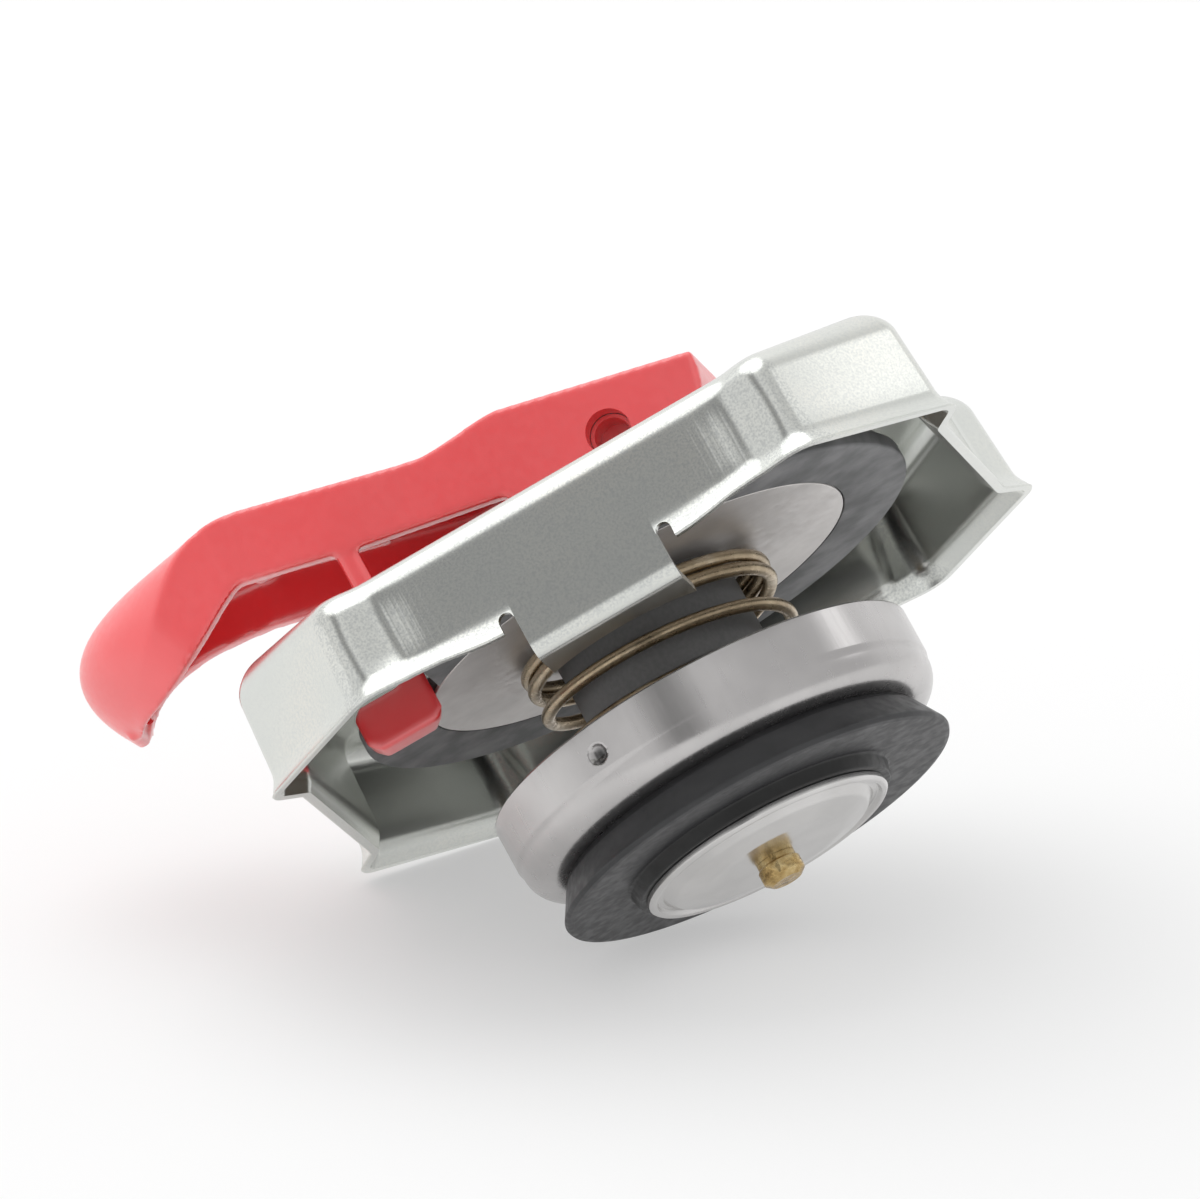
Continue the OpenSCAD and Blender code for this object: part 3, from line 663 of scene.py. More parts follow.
def level_ring(ring, z):
    """Outer edge of the flat middle of the top."""
    shrink = [min(0.97, RISE[0] / max(abs(x), 1e-6)) for x, _ in ring]
    return [(x * k, y * k, z) for (x, y), k in zip(ring, shrink)]


def shell_profile(s, depth):
    """(inset, height) pairs of the skirt and fold at a depth into the sheet, from the rim up."""
    rows = [(depth - s.flare * (1 - t), -s.rim + h) for t, h in RIM_CURVE]
    top, r = s.top - s.fold, s.fold - depth
    wall = top + s.rim - RIM_HEIGHT
    rows += [
        (depth + DRAFT * k / 4, -s.rim + RIM_HEIGHT + wall * k / 4) for k in (1, 2, 3)
    ]
    for k in range(s.fold_steps + 1):
        a = QUARTER * k / s.fold_steps
        rows.append((DRAFT + s.fold - r * cos(a), top + r * sin(a)))
    return rows


class CAP_OT_shell(Operator):
    """Drawn shell with its cam fingers, slot and rivet hole"""

    bl_idname = "radiator_cap.shell"
    bl_label = "Build Shell"

    def execute(self, context):
        s = in_mm(context.scene.cap_shell)
        shell = self.skin(s)
        combine(shell, drum("hole", RIVET_HOLE_R, 4, 9, 96), "DIFFERENCE")
        combine(shell, block("slot", *FOOT_SLOT), "DIFFERENCE")
        for side in (-1, 1):
            self.open_wall(shell, side)
            combine(shell, self.finger(side, s), "UNION")
        tidy_normals(shell, 30)
        settle(shell, "cap", "cap_shell", "zinc")
        return {"FINISHED"}

    def skin(self, s):
        """The closed sheet: inside from the top down to the rim, outside back up."""
        outer = shell_profile(s, 0.0)
        edge, low = outer[0]
        outer[:1] = [(edge + LIP_IN, low), (edge, low + LIP_UP)]
        rows = list(reversed(shell_profile(s, s.sheet))) + outer
        rings = [plan_ring(d, s.corner_steps) for d, _ in rows]
        layers = [level_ring(rings[0], s.top - s.sheet)]
        layers += [[(x, y, raised(s, x, z)) for x, y in ring] for ring, (_, z) in zip(rings, rows)]
        layers += [level_ring(rings[-1], s.top)]
        n, last = len(rings[0]), len(layers) - 1
        caps = [tuple(range(n)), tuple(reversed(range(last * n, last * n + n)))]
        verts = [p for layer in layers for p in layer]
        return tidy_normals(link_piece("shell_skin", verts, caps + bands(n, last)))

    def open_wall(self, shell, side):
        """Room for one finger, and the round-ended slots beside it."""
        y = sorted((side * WALL_OUTER, side * WALL_INNER))
        low, high = (-FINGER_ROOM, y[0], BELOW_RIM), (FINGER_ROOM, y[1], FINGER_ROOM_TOP)
        combine(shell, block("room", low, high), "DIFFERENCE")
        arc = [math.pi * k / 10 for k in range(11)]
        slot = [(RELIEF_X + RELIEF_R * cos(a), RELIEF_Z + RELIEF_R * sin(a)) for a in arc]
        slot += [(7, RELIEF_Z), (7, BELOW_RIM), (9, BELOW_RIM)]
        for end in (-1, 1):
            outline = [(end * x, z) for x, z in slot]
            combine(shell, prism("relief", outline, *y), "DIFFERENCE")

    def finger(self, side, s):
        """One cam finger: the wall's tab, its bend and its flat, as one swept strip."""
        bend = BEND_INNER + s.sheet
        lines = []
        for depth in (0, s.sheet):
            r = bend - depth
            line = [(TAB_FACE - depth, TAB_TOP)]
            for k in range(BEND_STEPS + 1):
                a = QUARTER * k / BEND_STEPS
                y = TAB_FACE - bend + r * cos(a)
                line.append((y, FINGER_LOW + bend - r * sin(a)))
            lines.append(line + [(FINGER_REACH, FINGER_LOW + depth)])
        loop = lines[0] + list(reversed(lines[1]))
        m = len(loop)
        inside = FINGER_HALF - FINGER_EDGE
        verts = [
            (x, side * y, z) for x in (-FINGER_HALF, -inside, inside, FINGER_HALF) for y, z in loop
        ]
        caps = [tuple(range(m)), tuple(reversed(range(3 * m, 4 * m)))]
        finger = tidy_normals(link_piece("finger", verts, caps + bands(m, 3)))
        hollow = drum("hollow", HOLLOW_R, -9, -6, 128)
        hollow.data.transform(Matrix.Translation((0, side * HOLLOW_CENTRE * MM, 0)))
        return combine(finger, hollow, "DIFFERENCE")


# Lever

PIN = (6.4, 13.0)
BORE_R, BORE_END = 2.16, 15
PIN_R, PIN_END, PIN_HOLLOW_R, PIN_CORE = 2.1, 8.7, 1.75, 5.5
HEEL_DROP, HEEL_REACH, HEEL_STEPS = 5.7, 10.2, 16
ROOF = [
    (-1.9, 20.25), (-3.2, 20.3), (-6, 20.1), (-8.4, 19.9), (-10, 19.9), (-12.5, 20.45),
    (-27.6, 24.4), (-29.6, 24.65), (-31, 24.6),
]
UNDERSIDE = [(-31, 18.3), (-18.5, 15.35), (-5.2, 12.8), (-3.6, 11.4), (-2.6, PIN[1] - HEEL_DROP)]
FOOT = [
    (-19, 16.6), (-19, -1.4), (-20, -2.4), (-26, -2.4), (-27, -1.4), (-27, 1.4), (-26.2, 2.2),
    (-21.9, 2.2), (-21.3, 2.8), (-21.3, 17.2),
]
FOOT_CLEAR_R = 21.9
RIDGE = [(-17, 21.6), (-27.6, 24.4), (-29.6, 24.6), (-30, 24.6)]
RIB_HALF, RIB_SUNK, RIB_DEPTH = 0.8, 0.1, 4.5
CURL_MIDDLE = [(-28.6, 24.3), (-39.6, 26.92), (-54.3, 24.58), (-47, 12.9)]
NEAR_EDGE = [(-28.6, 24.3), (-36, 26), (-39.3, 16.6), (-46.2, 13)]
NEAR_LIP = [(-28.6, 18.4), (-32.8, 18.6), (-37, 12.2), (-45.9, 12.4)]
FAR_EDGE = [(-28.6, 24.3), (-39, 26.4), (-47, 22), (-46.3, 13.2)]
FAR_LIP = [(-28.6, 18.2), (-34, 18.2), (-44.5, 22), (-45.8, 12.7)]
CURL_WALL, TIP_WALL, TIP_FILL = 2.0, 0.8, 1.4
CURL_STEPS, CURL_ACROSS = 40, 24
BEAD_PLACE, BEAD_R, BEAD_HALF, BEAD_EDGE = (-46.35, 13.15), 0.7, 2.3, 0.6


def bezier(p, t):
    """Point of a cubic curve given by its four control points."""
    p = [np.array(q, float) for q in p]
    u = 1 - t
    return u ** 3 * p[0] + 3 * t * u ** 2 * p[1] + 3 * t * t * u * p[2] + t ** 3 * p[3]


def curl_section(t, half):
    """One section of the finger end: a crowned back with its two side walls."""
    w = half * math.sqrt(1 - 0.95 * max(0, (t - 0.55) / 0.45) ** 2)
    wall = CURL_WALL - (CURL_WALL - TIP_WALL) * ease(t, 0.6, 1.0)
    back = wall + TIP_FILL * ease(t, 0.85, 1.0)
    curves = (CURL_MIDDLE, NEAR_EDGE, FAR_EDGE, NEAR_LIP, FAR_LIP)
    middle, near, far, near_lip, far_lip = (bezier(c, t) for c in curves)
    d = bezier(CURL_MIDDLE, t + 0.01) - bezier(CURL_MIDDLE, t - 0.01)
    d = np.array([-d[1], d[0]]) / np.linalg.norm(d)
    outer, inner = [], []
    for i in range(CURL_ACROSS + 1):
        v = -1 + 2 * i / CURL_ACROSS
        edge = near if v < 0 else far
        p = edge + (middle - edge) * (1 - v * v)
        q = p + d * back
        outer.append((p[0], v * w, p[1]))
        inner.append((q[0], math.copysign(min(abs(v * w), w - wall), v), q[1]))
    sides = ((near_lip, -w), (far_lip, w), (far_lip, w - wall), (near_lip, wall - w))
    lip = [(low[0], y, low[1]) for low, y in sides]
    return [lip[0]] + outer + [lip[1], lip[2]] + list(reversed(inner)) + [lip[3]]


class CAP_OT_lever(Operator):
    """Moulded vent lever with its cam heel, foot and curled finger end, and its pin"""

    bl_idname = "radiator_cap.lever"
    bl_label = "Build Lever"

    def execute(self, context):
        s = in_mm(context.scene.cap_lever)
        half = s.width / 2
        lever = self.moulding(s, half)
        combine(lever, self.finger_end(half - 0.05), "UNION")
        bead = lathe("bead", [
            (0, -BEAD_HALF, 0), (BEAD_R, -BEAD_HALF, BEAD_EDGE), (BEAD_R, BEAD_HALF, BEAD_EDGE),
            (0, BEAD_HALF, 0),
        ], 32)
        combine(lever, lay_across(bead, *BEAD_PLACE), "UNION")
        foot = prism("foot", FOOT, -half + 0.2, -half + 4.0)
        combine(foot, drum("clear", FOOT_CLEAR_R, -4, 20), "DIFFERENCE")
        combine(lever, foot, "UNION")
        rib = [(x, z - RIB_SUNK) for x, z in RIDGE]
        rib += [(x, z - RIB_DEPTH) for x, z in reversed(RIDGE)]
        combine(lever, prism("rib", rib, -RIB_HALF, RIB_HALF), "UNION")
        self.soften(lever, s)
        bore = drum("bore", BORE_R, -BORE_END, BORE_END, 64)
        combine(lever, lay_across(bore, *PIN), "DIFFERENCE")
        tidy_normals(lever, 40)
        settle(lever, "lever", "lever", "red")
        pin = lathe("pin_moulded", [
            (0, -PIN_CORE, 0), (PIN_HOLLOW_R, -PIN_CORE, 0), (PIN_HOLLOW_R, -PIN_END, 0),
            (PIN_R, -PIN_END, 0), (PIN_R, PIN_END, 0), (PIN_HOLLOW_R, PIN_END, 0),
            (PIN_HOLLOW_R, PIN_CORE, 0), (0, PIN_CORE, 0),
        ], 64)
        lay_across(pin, *PIN)
        settle(pin, "lifter", "lever_pin", "red")
        return {"FINISHED"}

    def moulding(self, s, half):
        """Body of the lever: an involute heel, a bent roof and two side walls."""
        rise = (HEEL_REACH - HEEL_DROP) / QUARTER
        heel = []
        for k in range(HEEL_STEPS + 1):
            a = QUARTER * k / HEEL_STEPS
            p = HEEL_DROP + rise * a
            x = PIN[0] + rise * cos(a) + p * sin(a)
            heel.append((x, PIN[1] + rise * sin(a) - p * cos(a)))
        lever = prism("lever_moulding", heel + ROOF + UNDERSIDE, -half, half)
        front, top = heel[-1][0] - 2, heel[-1][1] - s.roof
        room = [(front, 0), (front, top)] + [(x, z - s.roof) for x, z in ROOF]
        room += [(-40, ROOF[-1][1] - s.roof), (-40, 0)]
        hollow = prism("room", room, -half + s.wall, half - s.wall)
        return combine(lever, hollow, "DIFFERENCE")

    def finger_end(self, half):
        """The curl that a finger lifts, closed at both ends."""
        rings = [curl_section(k / CURL_STEPS, half) for k in range(CURL_STEPS + 1)]
        n = len(rings[0])
        faces = bands(n, CURL_STEPS)
        for at in (0, CURL_STEPS * n):
            for i in range(n // 2 - 1):
                faces.append((at + i, at + i + 1, at + n - 2 - i, at + n - 1 - i))
        verts = [p for ring in rings for p in ring]
        return tidy_normals(link_piece("finger_end", verts, faces))

    def soften(self, lever, s):
        """Fine remesh and smoothing, so that every moulded edge is round."""
        remesh = lever.modifiers.new("remesh", "REMESH")
        remesh.mode = "VOXEL"
        remesh.voxel_size = s.voxel * MM
        smooth = lever.modifiers.new("soften", "SMOOTH")
        smooth.factor = 0.5
        smooth.iterations = s.soften
        bake(lever)


# Springs

COIL_INPUTS = (
    "Radius", "Wire", "Turns", "Top", "Drop", "Start", "Closed Top", "Closed Top Drop",
    "Closed Bottom", "Closed Bottom Drop",
)
COIL_TURNS, TOP_TURNS, BOTTOM_TURNS = 4.7, 2, 0.8
CLOSED_PITCH = 1.06
VACUUM_COIL = {
    "Radius": 0.0035, "Wire": 0.00045, "Turns": 4.0, "Top": -0.019625, "Drop": 0.00335,
    "Start": 0.0, "Closed Top": 0.1875, "Closed Top Drop": 0.111, "Closed Bottom": 0.8125,
    "Closed Bottom Drop": 0.889, "Points": 360,
}


def coil_tree():
    """Node tree that sweeps a round wire along a coil with closed turns at both ends."""
    tree = bpy.data.node_groups.new("wire_coil", "GeometryNodeTree")
    ids = {}
    inputs = [(name, "Float") for name in COIL_INPUTS] + [("Points", "Int"), ("Material",) * 2]
    for name, kind in inputs:
        socket = tree.interface.new_socket(name, in_out="INPUT", socket_type="NodeSocket" + kind)
        ids[name] = socket.identifier
    tree.interface.new_socket("Geometry", in_out="OUTPUT", socket_type="NodeSocketGeometry")

    def add(kind, inputs=None, **settings):
        return add_node(tree, kind, inputs, **settings)

    def maths(operation, a, b=0.0):
        return add("ShaderNodeMath", {0: a, 1: b}, operation=operation)[0]

    def fall_between(start, end, low, high):
        """Fall within one stretch of the coil, counted from the start of the stretch."""
        ends = {"Value": along, "From Min": start, "From Max": end, "To Min": low, "To Max": high}
        return maths("SUBTRACT", add("ShaderNodeMapRange", ends)["Result"], low)

    given = add("NodeGroupInput")
    line = add("GeometryNodeCurvePrimitiveLine")["Curve"]
    line = add("GeometryNodeResampleCurve", {"Curve": line, "Count": given["Points"]})["Curve"]
    along = add("GeometryNodeSplineParameter")["Factor"]
    turned = maths("MULTIPLY", maths("MULTIPLY", along, given["Turns"]), 2 * math.pi)
    turned = maths("ADD", turned, given["Start"])
    first, last = given["Closed Top"], given["Closed Bottom"]
    first_drop, last_drop = given["Closed Top Drop"], given["Closed Bottom Drop"]
    upper = fall_between(0.0, first, 0.0, first_drop)
    middle = fall_between(first, last, first_drop, last_drop)
    lower = fall_between(last, 1.0, last_drop, 1.0)
    fall = maths("ADD", maths("ADD", upper, middle), lower)
    place = add("ShaderNodeCombineXYZ", {
        0: maths("MULTIPLY", maths("COSINE", turned), given["Radius"]),
        1: maths("MULTIPLY", maths("SINE", turned), given["Radius"]),
        2: maths("SUBTRACT", given["Top"], maths("MULTIPLY", fall, given["Drop"])),
    })[0]
    line = add("GeometryNodeSetPosition", {"Geometry": line, "Position": place})["Geometry"]
    half = maths("MULTIPLY", given["Wire"], 0.5)
    ring = add("GeometryNodeCurvePrimitiveCircle", {"Resolution": 20, "Radius": half})["Curve"]
    swept = {"Curve": line, "Profile Curve": ring, "Fill Caps": True}
    wire = add("GeometryNodeCurveToMesh", swept)["Mesh"]
    wire = add("GeometryNodeRealizeInstances", {"Geometry": wire})["Geometry"]
    painted = {"Geometry": wire, "Material": given["Material"]}
    wire = add("GeometryNodeSetMaterial", painted)["Geometry"]
    add("NodeGroupOutput", {"Geometry": wire})
    return tree, ids


class CAP_OT_springs(Operator):
    """Pressure spring and vacuum spring, swept by one node tree"""

    bl_idname = "radiator_cap.springs"
    bl_label = "Build Springs"

    def execute(self, context):
        s = in_mm(context.scene.cap_spring)
        tree, ids = coil_tree()
        drop = s.top - s.bottom - s.wire
        pitch = s.wire * CLOSED_PITCH
        main = self.coil(tree, ids, "spring_coil", {
            "Radius": s.radius * MM, "Wire": s.wire * MM, "Turns": COIL_TURNS,
            "Top": (s.top - s.wire / 2) * MM, "Drop": drop * MM, "Start": math.radians(20),
            "Closed Top": TOP_TURNS / COIL_TURNS, "Closed Top Drop": TOP_TURNS * pitch / drop,
            "Closed Bottom": 1 - BOTTOM_TURNS / COIL_TURNS,
            "Closed Bottom Drop": 1 - BOTTOM_TURNS * pitch / drop, "Points": 700,
        })
        settle(main, "cap", "pressure_spring", "wire")
        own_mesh(main)
        small = self.coil(tree, ids, "vacuum_coil", VACUUM_COIL)
        settle(small, "pressure_valve", "vacuum_spring", "wire")
        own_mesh(small)
        return {"FINISHED"}

    def coil(self, tree, ids, name, values):
        """One spring as a plain mesh."""
        obj = bpy.data.objects.new(name, bpy.data.meshes.new(name))
        bpy.context.scene.collection.objects.link(obj)
        mod = obj.modifiers.new("coil", "NODES")
        mod.node_group = tree
        for key, value in values.items():
            mod[ids[key]] = value
        mod[ids["Material"]] = finish_of("wire")
        bake(obj)
        return tidy_normals(obj, 50)


# Valves and seat

CUP_SHEET, CUP_EYE = 0.7, 6.05
WALL_ROWS, WALL_START, WALL_PITCH = 27, 1.2, 0.12
STEP = [(0.03, 4.45), (0.09, 4.62), (0.16, 4.82)]
SWELL_R, SWELL_IN, SWELL_STEPS = 2.8, 0.18, 12
SEAL_DROP, BOSS_DROP, RECESS_DROP = 3.3, 5, 2.9
SEAL_BORE, RECESS_R = 6.1, 8.2
PLATE_GAP, PLATE_HEIGHT, DOME_INSIDE = 5.02, 1.8, 1.3
STEM_R, GROOVE_R, STEM_TOP = 1.7, 1.2, -18.3
GROOVE_LOW, GROOVE_HIGH = -19.4, -18.9


class CAP_OT_valves(Operator):
    """Valve cup, rubber seal, vacuum plate and brass stem"""

    bl_idname = "radiator_cap.valves"
    bl_label = "Build Valves"

    def execute(self, context):
        s = in_mm(context.scene.cap_valve)
        low, v = s.cup_bottom, s.vac_r
        self.cup(s.cup_r, s.cup_top, low)
        r, edge, boss, recess = s.seal_r, low - SEAL_DROP, low - BOSS_DROP, low - RECESS_DROP
        seal = lathe("seal_moulded", [
            (SEAL_BORE, low, 0), (17.9, low, 0), (18.4, low - 0.6, 0.3), (r, edge, 0.25),
            (r - 0.2, edge - 0.4, 0.2), (r - 0.7, edge - 0.5, 0.2), (v + 1.0, edge - 0.35, 0.3),
            (v + 0.6, boss, 0.25), (RECESS_R, boss, 0), (RECESS_R, recess, 0),
            (SEAL_BORE, recess, 0),
        ], 224)
        settle(seal, "pressure_valve", "valve_seal", "seal")
        face = low - PLATE_GAP
        under, inside = face - PLATE_HEIGHT, face - DOME_INSIDE
        plate = lathe("vacuum_disc", [
            (STEM_R, under, 0), (v - 5.2, under, 3.0), (v - 2.4, face - 1.2, 0.7),
            (v - 1.5, face - 0.35, 0.25), (v - 0.95, face - 0.35, 0.15),
            (v - 0.7, face - 0.8, 0.12), (v - 0.3, face - 0.85, 0.2), (v, face - 0.55, 0.2),
            (v, face, 0.1), (v - 1.35, face, 0.2), (v - 5.25, inside, 0.3), (STEM_R, inside, 0),
        ], 224)
        settle(plate, "vacuum_valve", "vacuum_plate", "plate")
        stem = lathe("stem_brass", [
            (0, under - 2.4, 0), (1.5, under - 2.4, 0.25), (2.1, under - 1.9, 0.2),
            (2.1, under - 0.7, 0.15), (1.9, under - 0.5, 0.1), (1.9, under, 0.05),
            (STEM_R, under, 0), (STEM_R, GROOVE_LOW, 0), (GROOVE_R, GROOVE_LOW, 0),
            (GROOVE_R, GROOVE_HIGH, 0), (STEM_R, GROOVE_HIGH, 0), (1.5, STEM_TOP, 0.2),
            (0, STEM_TOP, 0),
        ], 96)
        settle(stem, "vacuum_valve", "vacuum_stem", "brass")
        return {"FINISHED"}

    def cup(self, r, top, low):
        """Drawn cup with a soft step above its swollen lower wall."""
        wall = [(r, top - WALL_START - WALL_PITCH * k, 0) for k in range(WALL_ROWS)]
        wall += [(r - inset, top - down, 0) for inset, down in STEP]
        for k in range(SWELL_STEPS + 1):
            a = QUARTER * k / SWELL_STEPS
            x = r - SWELL_IN - SWELL_R + SWELL_R * cos(a)
            wall.append((x, low + SWELL_R * (1 - sin(a)), 0))
        inner, floor = r - CUP_SHEET, low + CUP_SHEET
        cup = lathe("cup_drawn", [(inner, top, 0.2), (r, top, 0.2)] + wall + [
            (CUP_EYE, low, 0), (CUP_EYE, floor, 0), (inner, floor, 1.4), (inner, -15.0, 0),
        ], 720, 7)
        self.dimple(cup, r)
        settle(cup, "pressure_valve", "valve_cup", "cup")

    def dimple(self, cup, r):
        """Presses three stakes into the cup's wall."""
        for v in cup.data.vertices:
            radius = math.hypot(v.co.x, v.co.y) / MM
            if radius < r - 0.5:
                continue
            bearing = math.atan2(v.co.y, v.co.x)
            for a in STAKE_ANGLES:
                around = ((bearing - a + math.pi) % (2 * math.pi) - math.pi) * r
                d = math.hypot(around, v.co.z / MM - STAKE_Z)
                if d < STAKE_R:
                    k = (radius - STAKE_DEPTH * math.sqrt(1 - (d / STAKE_R) ** 2)) / radius
                    v.co.x *= k
                    v.co.y *= k
        cup.data.update()


GASKET_NOTCH = (-31, -31, -1), (-18.5, -6.5, 3)
DISC_R, DISC_SHEET, BUSH_R = 21.5, 0.4, 4.6
SLEEVE_R, SLEEVE_BORE, SLEEVE_LOW, SLEEVE_FLANGE = 9.2, 8.4, -9.2, -0.8


class CAP_OT_seat(Operator):
    """Neck gasket, diaphragm disc and spring guide sleeve"""

    bl_idname = "radiator_cap.seat"
    bl_label = "Build Seat"

    def execute(self, context):
        gasket = lathe("gasket_ring", [
            (13, DISC_SHEET, 0), (21.6, DISC_SHEET, 0), (21.6, 0, 0.1), (28.2, 0, 0.35),
            (28.2, 1.6, 0.15), (13, 1.6, 0),
        ], 224)
        combine(gasket, block("notch", *GASKET_NOTCH), "DIFFERENCE")
        tidy_normals(gasket)
        settle(gasket, "cap", "neck_gasket", "gasket")
        disc = lathe("disc_plate", [
            (BUSH_R, 0, 0), (DISC_R, 0, 0.15), (DISC_R, DISC_SHEET, 0.1), (BUSH_R, DISC_SHEET, 0),
        ], 224)
        settle(disc, "cap", "diaphragm_disc", "disc")
        sleeve = lathe("sleeve_tube", [
            (BUSH_R, 0, 0), (SLEEVE_R, 0, 0), (SLEEVE_R, SLEEVE_LOW, 0.25),
            (SLEEVE_BORE, SLEEVE_LOW, 0.25), (SLEEVE_BORE, SLEEVE_FLANGE, 0),
            (BUSH_R, SLEEVE_FLANGE, 0),
        ], 160)
        settle(sleeve, "cap", "guide_sleeve", "sleeve")
        return {"FINISHED"}


CARRIED = {
    "backing_plate": "dark", "centre_bush": "disc", "stem_ring": "seal", "lift_stem": "disc",
    "lift_yoke": "disc", "lift_collar": "disc", "spring_plate": "disc", "seal_retainer": "plate",
    "vacuum_clip": "plate",
}


class CAP_OT_carried(Operator):
    """Finishes of the inner pieces whose solids are shown as they are"""

    bl_idname = "radiator_cap.carried"
    bl_label = "Finish Inner Pieces"

    def execute(self, context):
        for node, key in CARRIED.items():
            mesh = frame["nodes"][node].data
            mesh.materials.clear()
            mesh.materials.append(finish_of(key))
        return {"FINISHED"}


# Stage

FRAME_WIDTH = 1200
SENSOR = 36
FLOOR_HALF = 1.5
FLOOR_GREY, FLOOR_WHITE_SHARE = (0.87, 0.87, 0.87), 0.45
WHITE = (0.96, 0.96, 0.96, 1)
ROOM = ((0.0, 0.35), (0.45, 0.54), (0.56, 0.70), (0.72, 0.86), (1.0, 0.94))
DEPTH = ((0.0, 0.24), (0.25, 0.30), (0.5, 0.60), (0.7, 0.92), (0.8, 1.0))
WIDTH = (
    (0.0, 0.8), (0.27, 0.85), (0.36, 0.36), (0.42, 0.24), (0.48, 0.34), (0.57, 0.85), (0.8, 0.68),
)


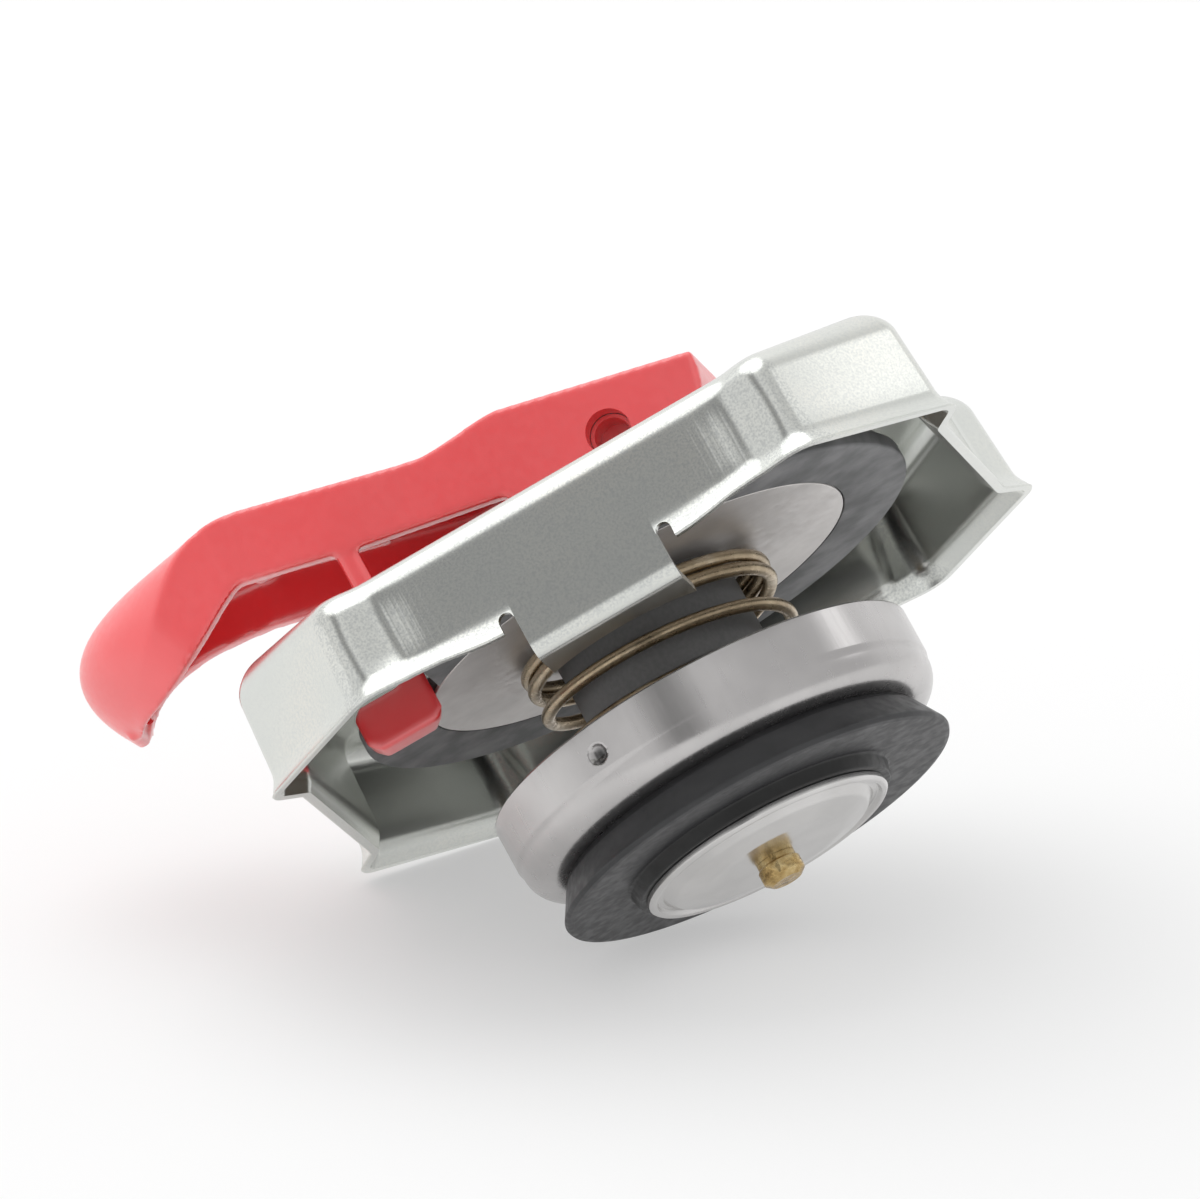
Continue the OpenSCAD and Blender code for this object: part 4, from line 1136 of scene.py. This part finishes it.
class CAP_OT_stage(Operator):
    """Camera, floor and soft light"""

    bl_idname = "radiator_cap.stage"
    bl_label = "Build Stage"

    def execute(self, context):
        s = in_mm(context.scene.cap_stage)
        az, el, roll = s.azimuth, s.elevation, s.roll
        across = cos(el)
        ahead = Vector((-sin(az) * across, cos(az) * across, -sin(el)))
        level = Vector((cos(az), sin(az), 0))
        above = level.cross(ahead)
        right = cos(roll) * level + sin(roll) * above
        up = -sin(roll) * level + cos(roll) * above
        camera = bpy.data.cameras.new("camera")
        camera.sensor_fit = "HORIZONTAL"
        camera.sensor_width = SENSOR
        camera.lens = SENSOR * s.scale * s.distance / FRAME_WIDTH
        camera.clip_end = 20
        holder = bpy.data.objects.new("camera", camera)
        context.scene.collection.objects.link(holder)
        place = -MM * (s.shift_x * right + s.shift_y * up + s.distance * ahead)
        turn = Matrix((right, up, -ahead)).transposed().to_4x4()
        holder.matrix_world = Matrix.Translation(place) @ turn
        context.scene.camera = holder
        normal = (cos(s.pitch) * up - sin(s.pitch) * ahead).normalized()
        back = normal.cross(right).normalized()
        self.floor(context, normal, back)
        self.lights(context, normal, right, back)
        self.world(context, normal, ahead, level)
        context.scene.view_settings.view_transform = "Standard"
        return {"FINISHED"}

    def floor(self, context, normal, back):
        """Pale paper under the lowest point, clear from below."""
        low = min(
            v.co.dot(normal)
            for o in context.scene.objects
            if o.type == "MESH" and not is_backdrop(o)
            for v in o.data.vertices
        )
        side = back.cross(normal).normalized()
        corners = [
            normal * low + side * a * FLOOR_HALF + back * b * FLOOR_HALF
            for a, b in ((-1, -1), (1, -1), (1, 1), (-1, 1))
        ]
        floor = link_piece("floor", corners, [(0, 1, 2, 3)], 1.0)
        if floor.data.polygons[0].normal.dot(normal) < 0:
            floor.data.flip_normals()
        g = Graph("floor_paper", FLOOR_GREY, 0.0, 0.9)
        g.fix("Specular IOR Level", 0.0)
        path = g.add("ShaderNodeLightPath")
        seen = g.math("MAXIMUM", path["Is Camera Ray"], path["Is Glossy Ray"])
        seen = g.math("MAXIMUM", seen, path["Is Transmission Ray"])
        white = g.add("ShaderNodeEmission", {"Color": WHITE})[0]
        share = g.product(seen, FLOOR_WHITE_SHARE)
        paper = choose(g.tree, share, g.shader.outputs[0], white)
        below = g.add("ShaderNodeNewGeometry")["Backfacing"]
        clear = g.add("ShaderNodeBsdfTransparent")[0]
        surface = choose(g.tree, below, paper, clear)
        g.tree.links.new(surface, g.tree.nodes["Material Output"].inputs["Surface"])
        floor.data.materials.append(g.material)
        floor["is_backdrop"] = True

    def lights(self, context, normal, right, back):
        """A broad lamp above and a small one at the side."""
        for name, offset, size, power in (
            ("key", normal * 0.62 - right * 0.22 + back * 0.20, 0.90, 2.35),
            ("side", normal * 0.43 + right * 0.50 + back * 0.19, 0.20, 0.10),
        ):
            light = bpy.data.lights.new(name, "AREA")
            light.shape = "DISK"
            light.size = size
            light.energy = power
            lamp = bpy.data.objects.new(name, light)
            context.scene.collection.objects.link(lamp)
            lamp.location = offset
            lamp.rotation_euler = (-offset).to_track_quat("-Z", "Y").to_euler()

    def world(self, context, normal, ahead, level):
        """Soft room for diffuse light, and a white studio with one dark stretch for reflections."""
        world = bpy.data.worlds.new("studio")
        context.scene.world = world
        world.use_nodes = True
        tree = world.node_tree
        tree.nodes.clear()

        def add(kind, inputs=None, **settings):
            return add_node(tree, kind, inputs, **settings)

        def sky(axis, stops):
            """Grey along an axis of the room, from behind it to ahead."""
            inputs = {0: coords, 1: axis}
            dot = add("ShaderNodeVectorMath", inputs, operation="DOT_PRODUCT")["Value"]
            along = add("ShaderNodeMapRange", {"Value": dot, "From Min": -1})["Result"]
            return grade(tree, along, [(at, (v, v, v)) for at, v in stops])

        coords = add("ShaderNodeTexCoord")["Generated"]
        both = {"Factor": 1, 6: sky(ahead, DEPTH), 7: sky(level, WIDTH)}
        backdrop = add("ShaderNodeMix", both, data_type="RGBA", blend_type="LIGHTEN")[2]
        room, studio, white = (
            add("ShaderNodeBackground", {"Color": colour})[0]
            for colour in (sky(normal, ROOM), backdrop, WHITE)
        )
        path = add("ShaderNodeLightPath")
        rays = {0: path["Is Glossy Ray"], 1: path["Is Transmission Ray"]}
        mirrored = add("ShaderNodeMath", rays, operation="MAXIMUM")[0]
        around = choose(tree, mirrored, room, studio)
        surface = choose(tree, path["Is Camera Ray"], around, white)
        add("ShaderNodeOutputWorld", {"Surface": surface})


class CAP_PT_panel(Panel):
    """Buttons that build the cap's pieces one group at a time"""

    bl_idname = "CAP_PT_panel"
    bl_label = "Radiator Cap"
    bl_space_type = "VIEW_3D"
    bl_region_type = "UI"
    bl_category = "Radiator Cap"

    def draw(self, context):
        for operator in OPERATORS:
            self.layout.operator(operator.bl_idname)


SETTINGS = (
    ("cap_finish", FinishSettings), ("cap_shell", ShellSettings), ("cap_lever", LeverSettings),
    ("cap_spring", SpringSettings), ("cap_valve", ValveSettings), ("cap_stage", StageSettings),
)
OPERATORS = (
    CAP_OT_shell, CAP_OT_lever, CAP_OT_springs, CAP_OT_valves, CAP_OT_seat, CAP_OT_carried,
    CAP_OT_stage,
)


def register():
    for name, settings in SETTINGS:
        bpy.utils.register_class(settings)
        setattr(bpy.types.Scene, name, bpy.props.PointerProperty(type=settings))
    for cls in (*OPERATORS, CAP_PT_panel):
        bpy.utils.register_class(cls)


def unregister():
    for cls in reversed((*OPERATORS, CAP_PT_panel)):
        bpy.utils.unregister_class(cls)
    for name, settings in reversed(SETTINGS):
        delattr(bpy.types.Scene, name)
        bpy.utils.unregister_class(settings)


def main():
    register()
    bpy.ops.radiator_cap.shell()
    bpy.ops.radiator_cap.lever()
    bpy.ops.radiator_cap.springs()
    bpy.ops.radiator_cap.valves()
    bpy.ops.radiator_cap.seat()
    bpy.ops.radiator_cap.carried()
    bpy.ops.radiator_cap.stage()
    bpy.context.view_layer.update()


if __name__ == "__main__":
    main()
